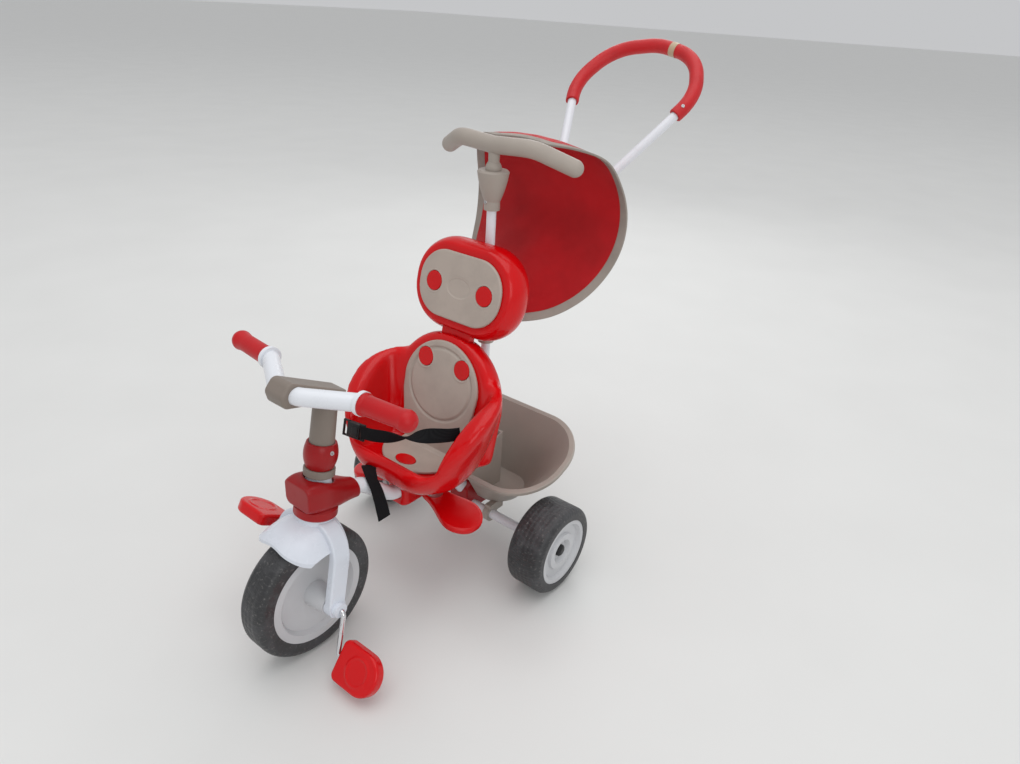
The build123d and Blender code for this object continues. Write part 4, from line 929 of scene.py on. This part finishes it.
canopy_tape = swept("canopy_tape", "taupe_tape", rim_count, 20, tape_place_at)
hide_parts("canopy_binding")
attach(canopy_tape, "frame")
tape_length = sum((rim_points[i] - rim_points[i - 1]).length for i in range(rim_count))
print("binding tape", round(tape_length, 3), "m long")

# %% [markdown]
# ## The belt
#
# A lap belt of black webbing. One strap comes out of the left side of the seat and turns over once
# on its way to the buckle; the other's free end hangs over the frame tube in front of the seat.
# Each row of a strap is a point of its middle line and the turn of its flat side about that line.

# %% Belt straps
strap_half = 0.0135
strap_thin = 0.0009
steps_per_row = 18
glance = 0.004  # share of the strap looked ahead and behind to find its direction


def strap(name, node, wide_way, rows):
    """Webbing through rows of x, y, z in metres and a turn in degrees from wide_way."""
    steps = steps_per_row * (len(rows) - 1)

    def place(u, v):
        x, y, z, turn = smooth_through(rows, u)
        here = Vector((x, y, z))
        low = Vector(smooth_through(rows, max(u - glance, 0.0))[:3])
        high = Vector(smooth_through(rows, min(u + glance, 1.0))[:3])
        along = (high - low).normalized()
        level = (wide_way - along * wide_way.dot(along)).normalized()
        a = math.radians(turn)
        wide = level * math.cos(a) + along.cross(level) * math.sin(a)
        across, rise = flat_oval(v, strap_half, strap_thin)
        return here + wide * across + along.cross(wide) * rise

    piece = swept(name, "black_webbing", steps, 16, place)
    line = [Vector(smooth_through(rows, i / steps)[:3]) for i in range(steps + 1)]
    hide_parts(node)
    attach(piece, "frame")


strap("belt_left_web", "belt_left", Vector((0.0, 0.0, 1.0)), (
    (0.198, 0.116, 0.372, 0), (0.214, 0.102, 0.370, 4), (0.232, 0.076, 0.366, 30),
    (0.246, 0.050, 0.360, 80), (0.256, 0.028, 0.354, 135), (0.266, 0.000, 0.347, 172),
    (0.273, -0.030, 0.341, 180), (0.2765, -0.058, 0.337, 180),
))
strap("belt_tail_web", "belt_tail", Vector((1.0, 0.0, 0.35)), (
    (0.2620, -0.0500, 0.2600, 0), (0.2760, -0.0380, 0.2740, 0), (0.2920, -0.0220, 0.2840, 0),
    (0.3050, -0.0040, 0.2868, 0), (0.3135, 0.0110, 0.2830, 0), (0.3140, 0.0220, 0.2680, 0),
    (0.3110, 0.0290, 0.2400, 5), (0.3070, 0.0340, 0.2060, 10),
))

# %% [markdown]
# The buckle is a small moulded box with a raised button and a loop of bars at each end, which the
# webbing goes round. It is nine blocks with rounded edges, turned to lie along the strap.

# %% Belt buckle
side_bar = (0.012, 0.0030, 0.0048)
end_bar = (0.0034, 0.034, 0.0048)
buckle_form = bmesh.new()
buckle_blocks = (  # middle and size: along the belt, across it, and through the plate
    ((0.0, 0.0, 0.0), (0.026, 0.031, 0.0100)), ((-0.0035, 0.0, 0.0052), (0.013, 0.019, 0.0030)),
    ((0.0170, 0.0155, 0.0), side_bar), ((0.0170, -0.0155, 0.0), side_bar),
    ((0.0215, 0.0, 0.0), end_bar), ((-0.0170, 0.0155, 0.0), side_bar),
    ((-0.0170, -0.0155, 0.0), side_bar), ((-0.0215, 0.0, 0.0), end_bar),
    ((-0.0165, 0.0, 0.0), (0.0030, 0.030, 0.0048)),
)
for block_middle, block_size in buckle_blocks:
    block(buckle_form, block_middle, block_size)
bmesh.ops.bevel(
    buckle_form, geom=list(buckle_form.edges), offset=0.0009, segments=3, profile=0.5,
    affect="EDGES",
)
buckle_through = Vector((1.0, 0.3, 0.12)).normalized()
buckle_along = Vector((0.3, -1.0, 0.10)).normalized()
buckle_across = buckle_through.cross(buckle_along).normalized()
buckle_turn = Matrix((buckle_along, buckle_across, buckle_through)).transposed().to_4x4()
buckle_place = Matrix.Translation((0.2735, -0.0800, 0.332)) @ buckle_turn
bmesh.ops.transform(buckle_form, verts=buckle_form.verts, matrix=buckle_place)
buckle = finished("belt_buckle_detail", "black_plastic", buckle_form)
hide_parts("belt_buckle")
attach(buckle, "frame")
print("buckle blocks", len(buckle_blocks))

# %% [markdown]
# ## Screws
#
# Cross-headed screws hold the collar, the mast's cup and one end of the grip. One head is cut once
# and set down at each place.

# %% Screws
head_form = bmesh.new()
bmesh.ops.create_cone(
    head_form, cap_ends=True, segments=32, radius1=0.0042, radius2=0.0034, depth=0.0020
)
cross_form = bmesh.new()
for slot_size in ((0.0050, 0.0010, 0.0020), (0.0010, 0.0050, 0.0020)):
    block(cross_form, (0.0, 0.0, 0.0011), slot_size)
head = piece_of("screw_head", head_form)
cross = piece_of("screw_cross", cross_form)
cut = head.modifiers.new("cut", "BOOLEAN")
cut.operation = "DIFFERENCE"
cut.solver = "EXACT"
cut.use_self = True
cut.object = cross
screw_mesh = settled(head)
bpy.data.objects.remove(head)
bpy.data.objects.remove(cross)
for name, body, point, look in (  # the middle of the head, and the way it looks
    ("frame_screws", "frame", (0.0094, -0.0036, 0.7334), (0.975, -0.22, 0.0)),
    ("fork_screws", "fork", (0.4113, 0.0276, 0.3904), (0.194, 0.966, 0.171)),
    ("push_screws", "push_handle", (-0.4363, 0.1423, 0.8919), (0.70, 0.479, 0.529)),
):
    screw_form = bmesh.new()
    screw_form.from_mesh(screw_mesh)
    turn = Vector(look).to_track_quat("Z", "Y").to_matrix().to_4x4()
    matrix = Matrix.Translation(point) @ turn
    bmesh.ops.transform(screw_form, verts=screw_form.verts, matrix=matrix)
    screw = finished(name, "turned_steel", screw_form)
    screw.data.shade_flat()
    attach(screw, body)
print("screw faces", len(screw_mesh.polygons))

# %% [markdown]
# A band of beige tape goes round the foam where its halves meet. It is the foam's own skin between
# two cuts, lifted off it by the tape's thickness, so that it fits the foam exactly.

# %% Band on the grip
band_form = bmesh.new()
band_form.from_mesh(foam_skin.data)
band_middle = Vector((-0.5500, 0.0426, 0.9850))
band_along = Vector((0.12, 0.97, -0.20)).normalized()
band_half = 0.008
band_lift = 0.0005
for way in (1, -1):
    bmesh.ops.bisect_plane(
        band_form, geom=band_form.verts[:] + band_form.edges[:] + band_form.faces[:],
        plane_co=band_middle + band_along * way * band_half, plane_no=band_along * way,
        clear_outer=True,
    )
band_form.normal_update()
for vert in band_form.verts:
    vert.co += vert.normal * band_lift
band = finished("grip_band", "beige_band", band_form)
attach(band, "push_handle")
print("band faces", len(band.data.polygons))
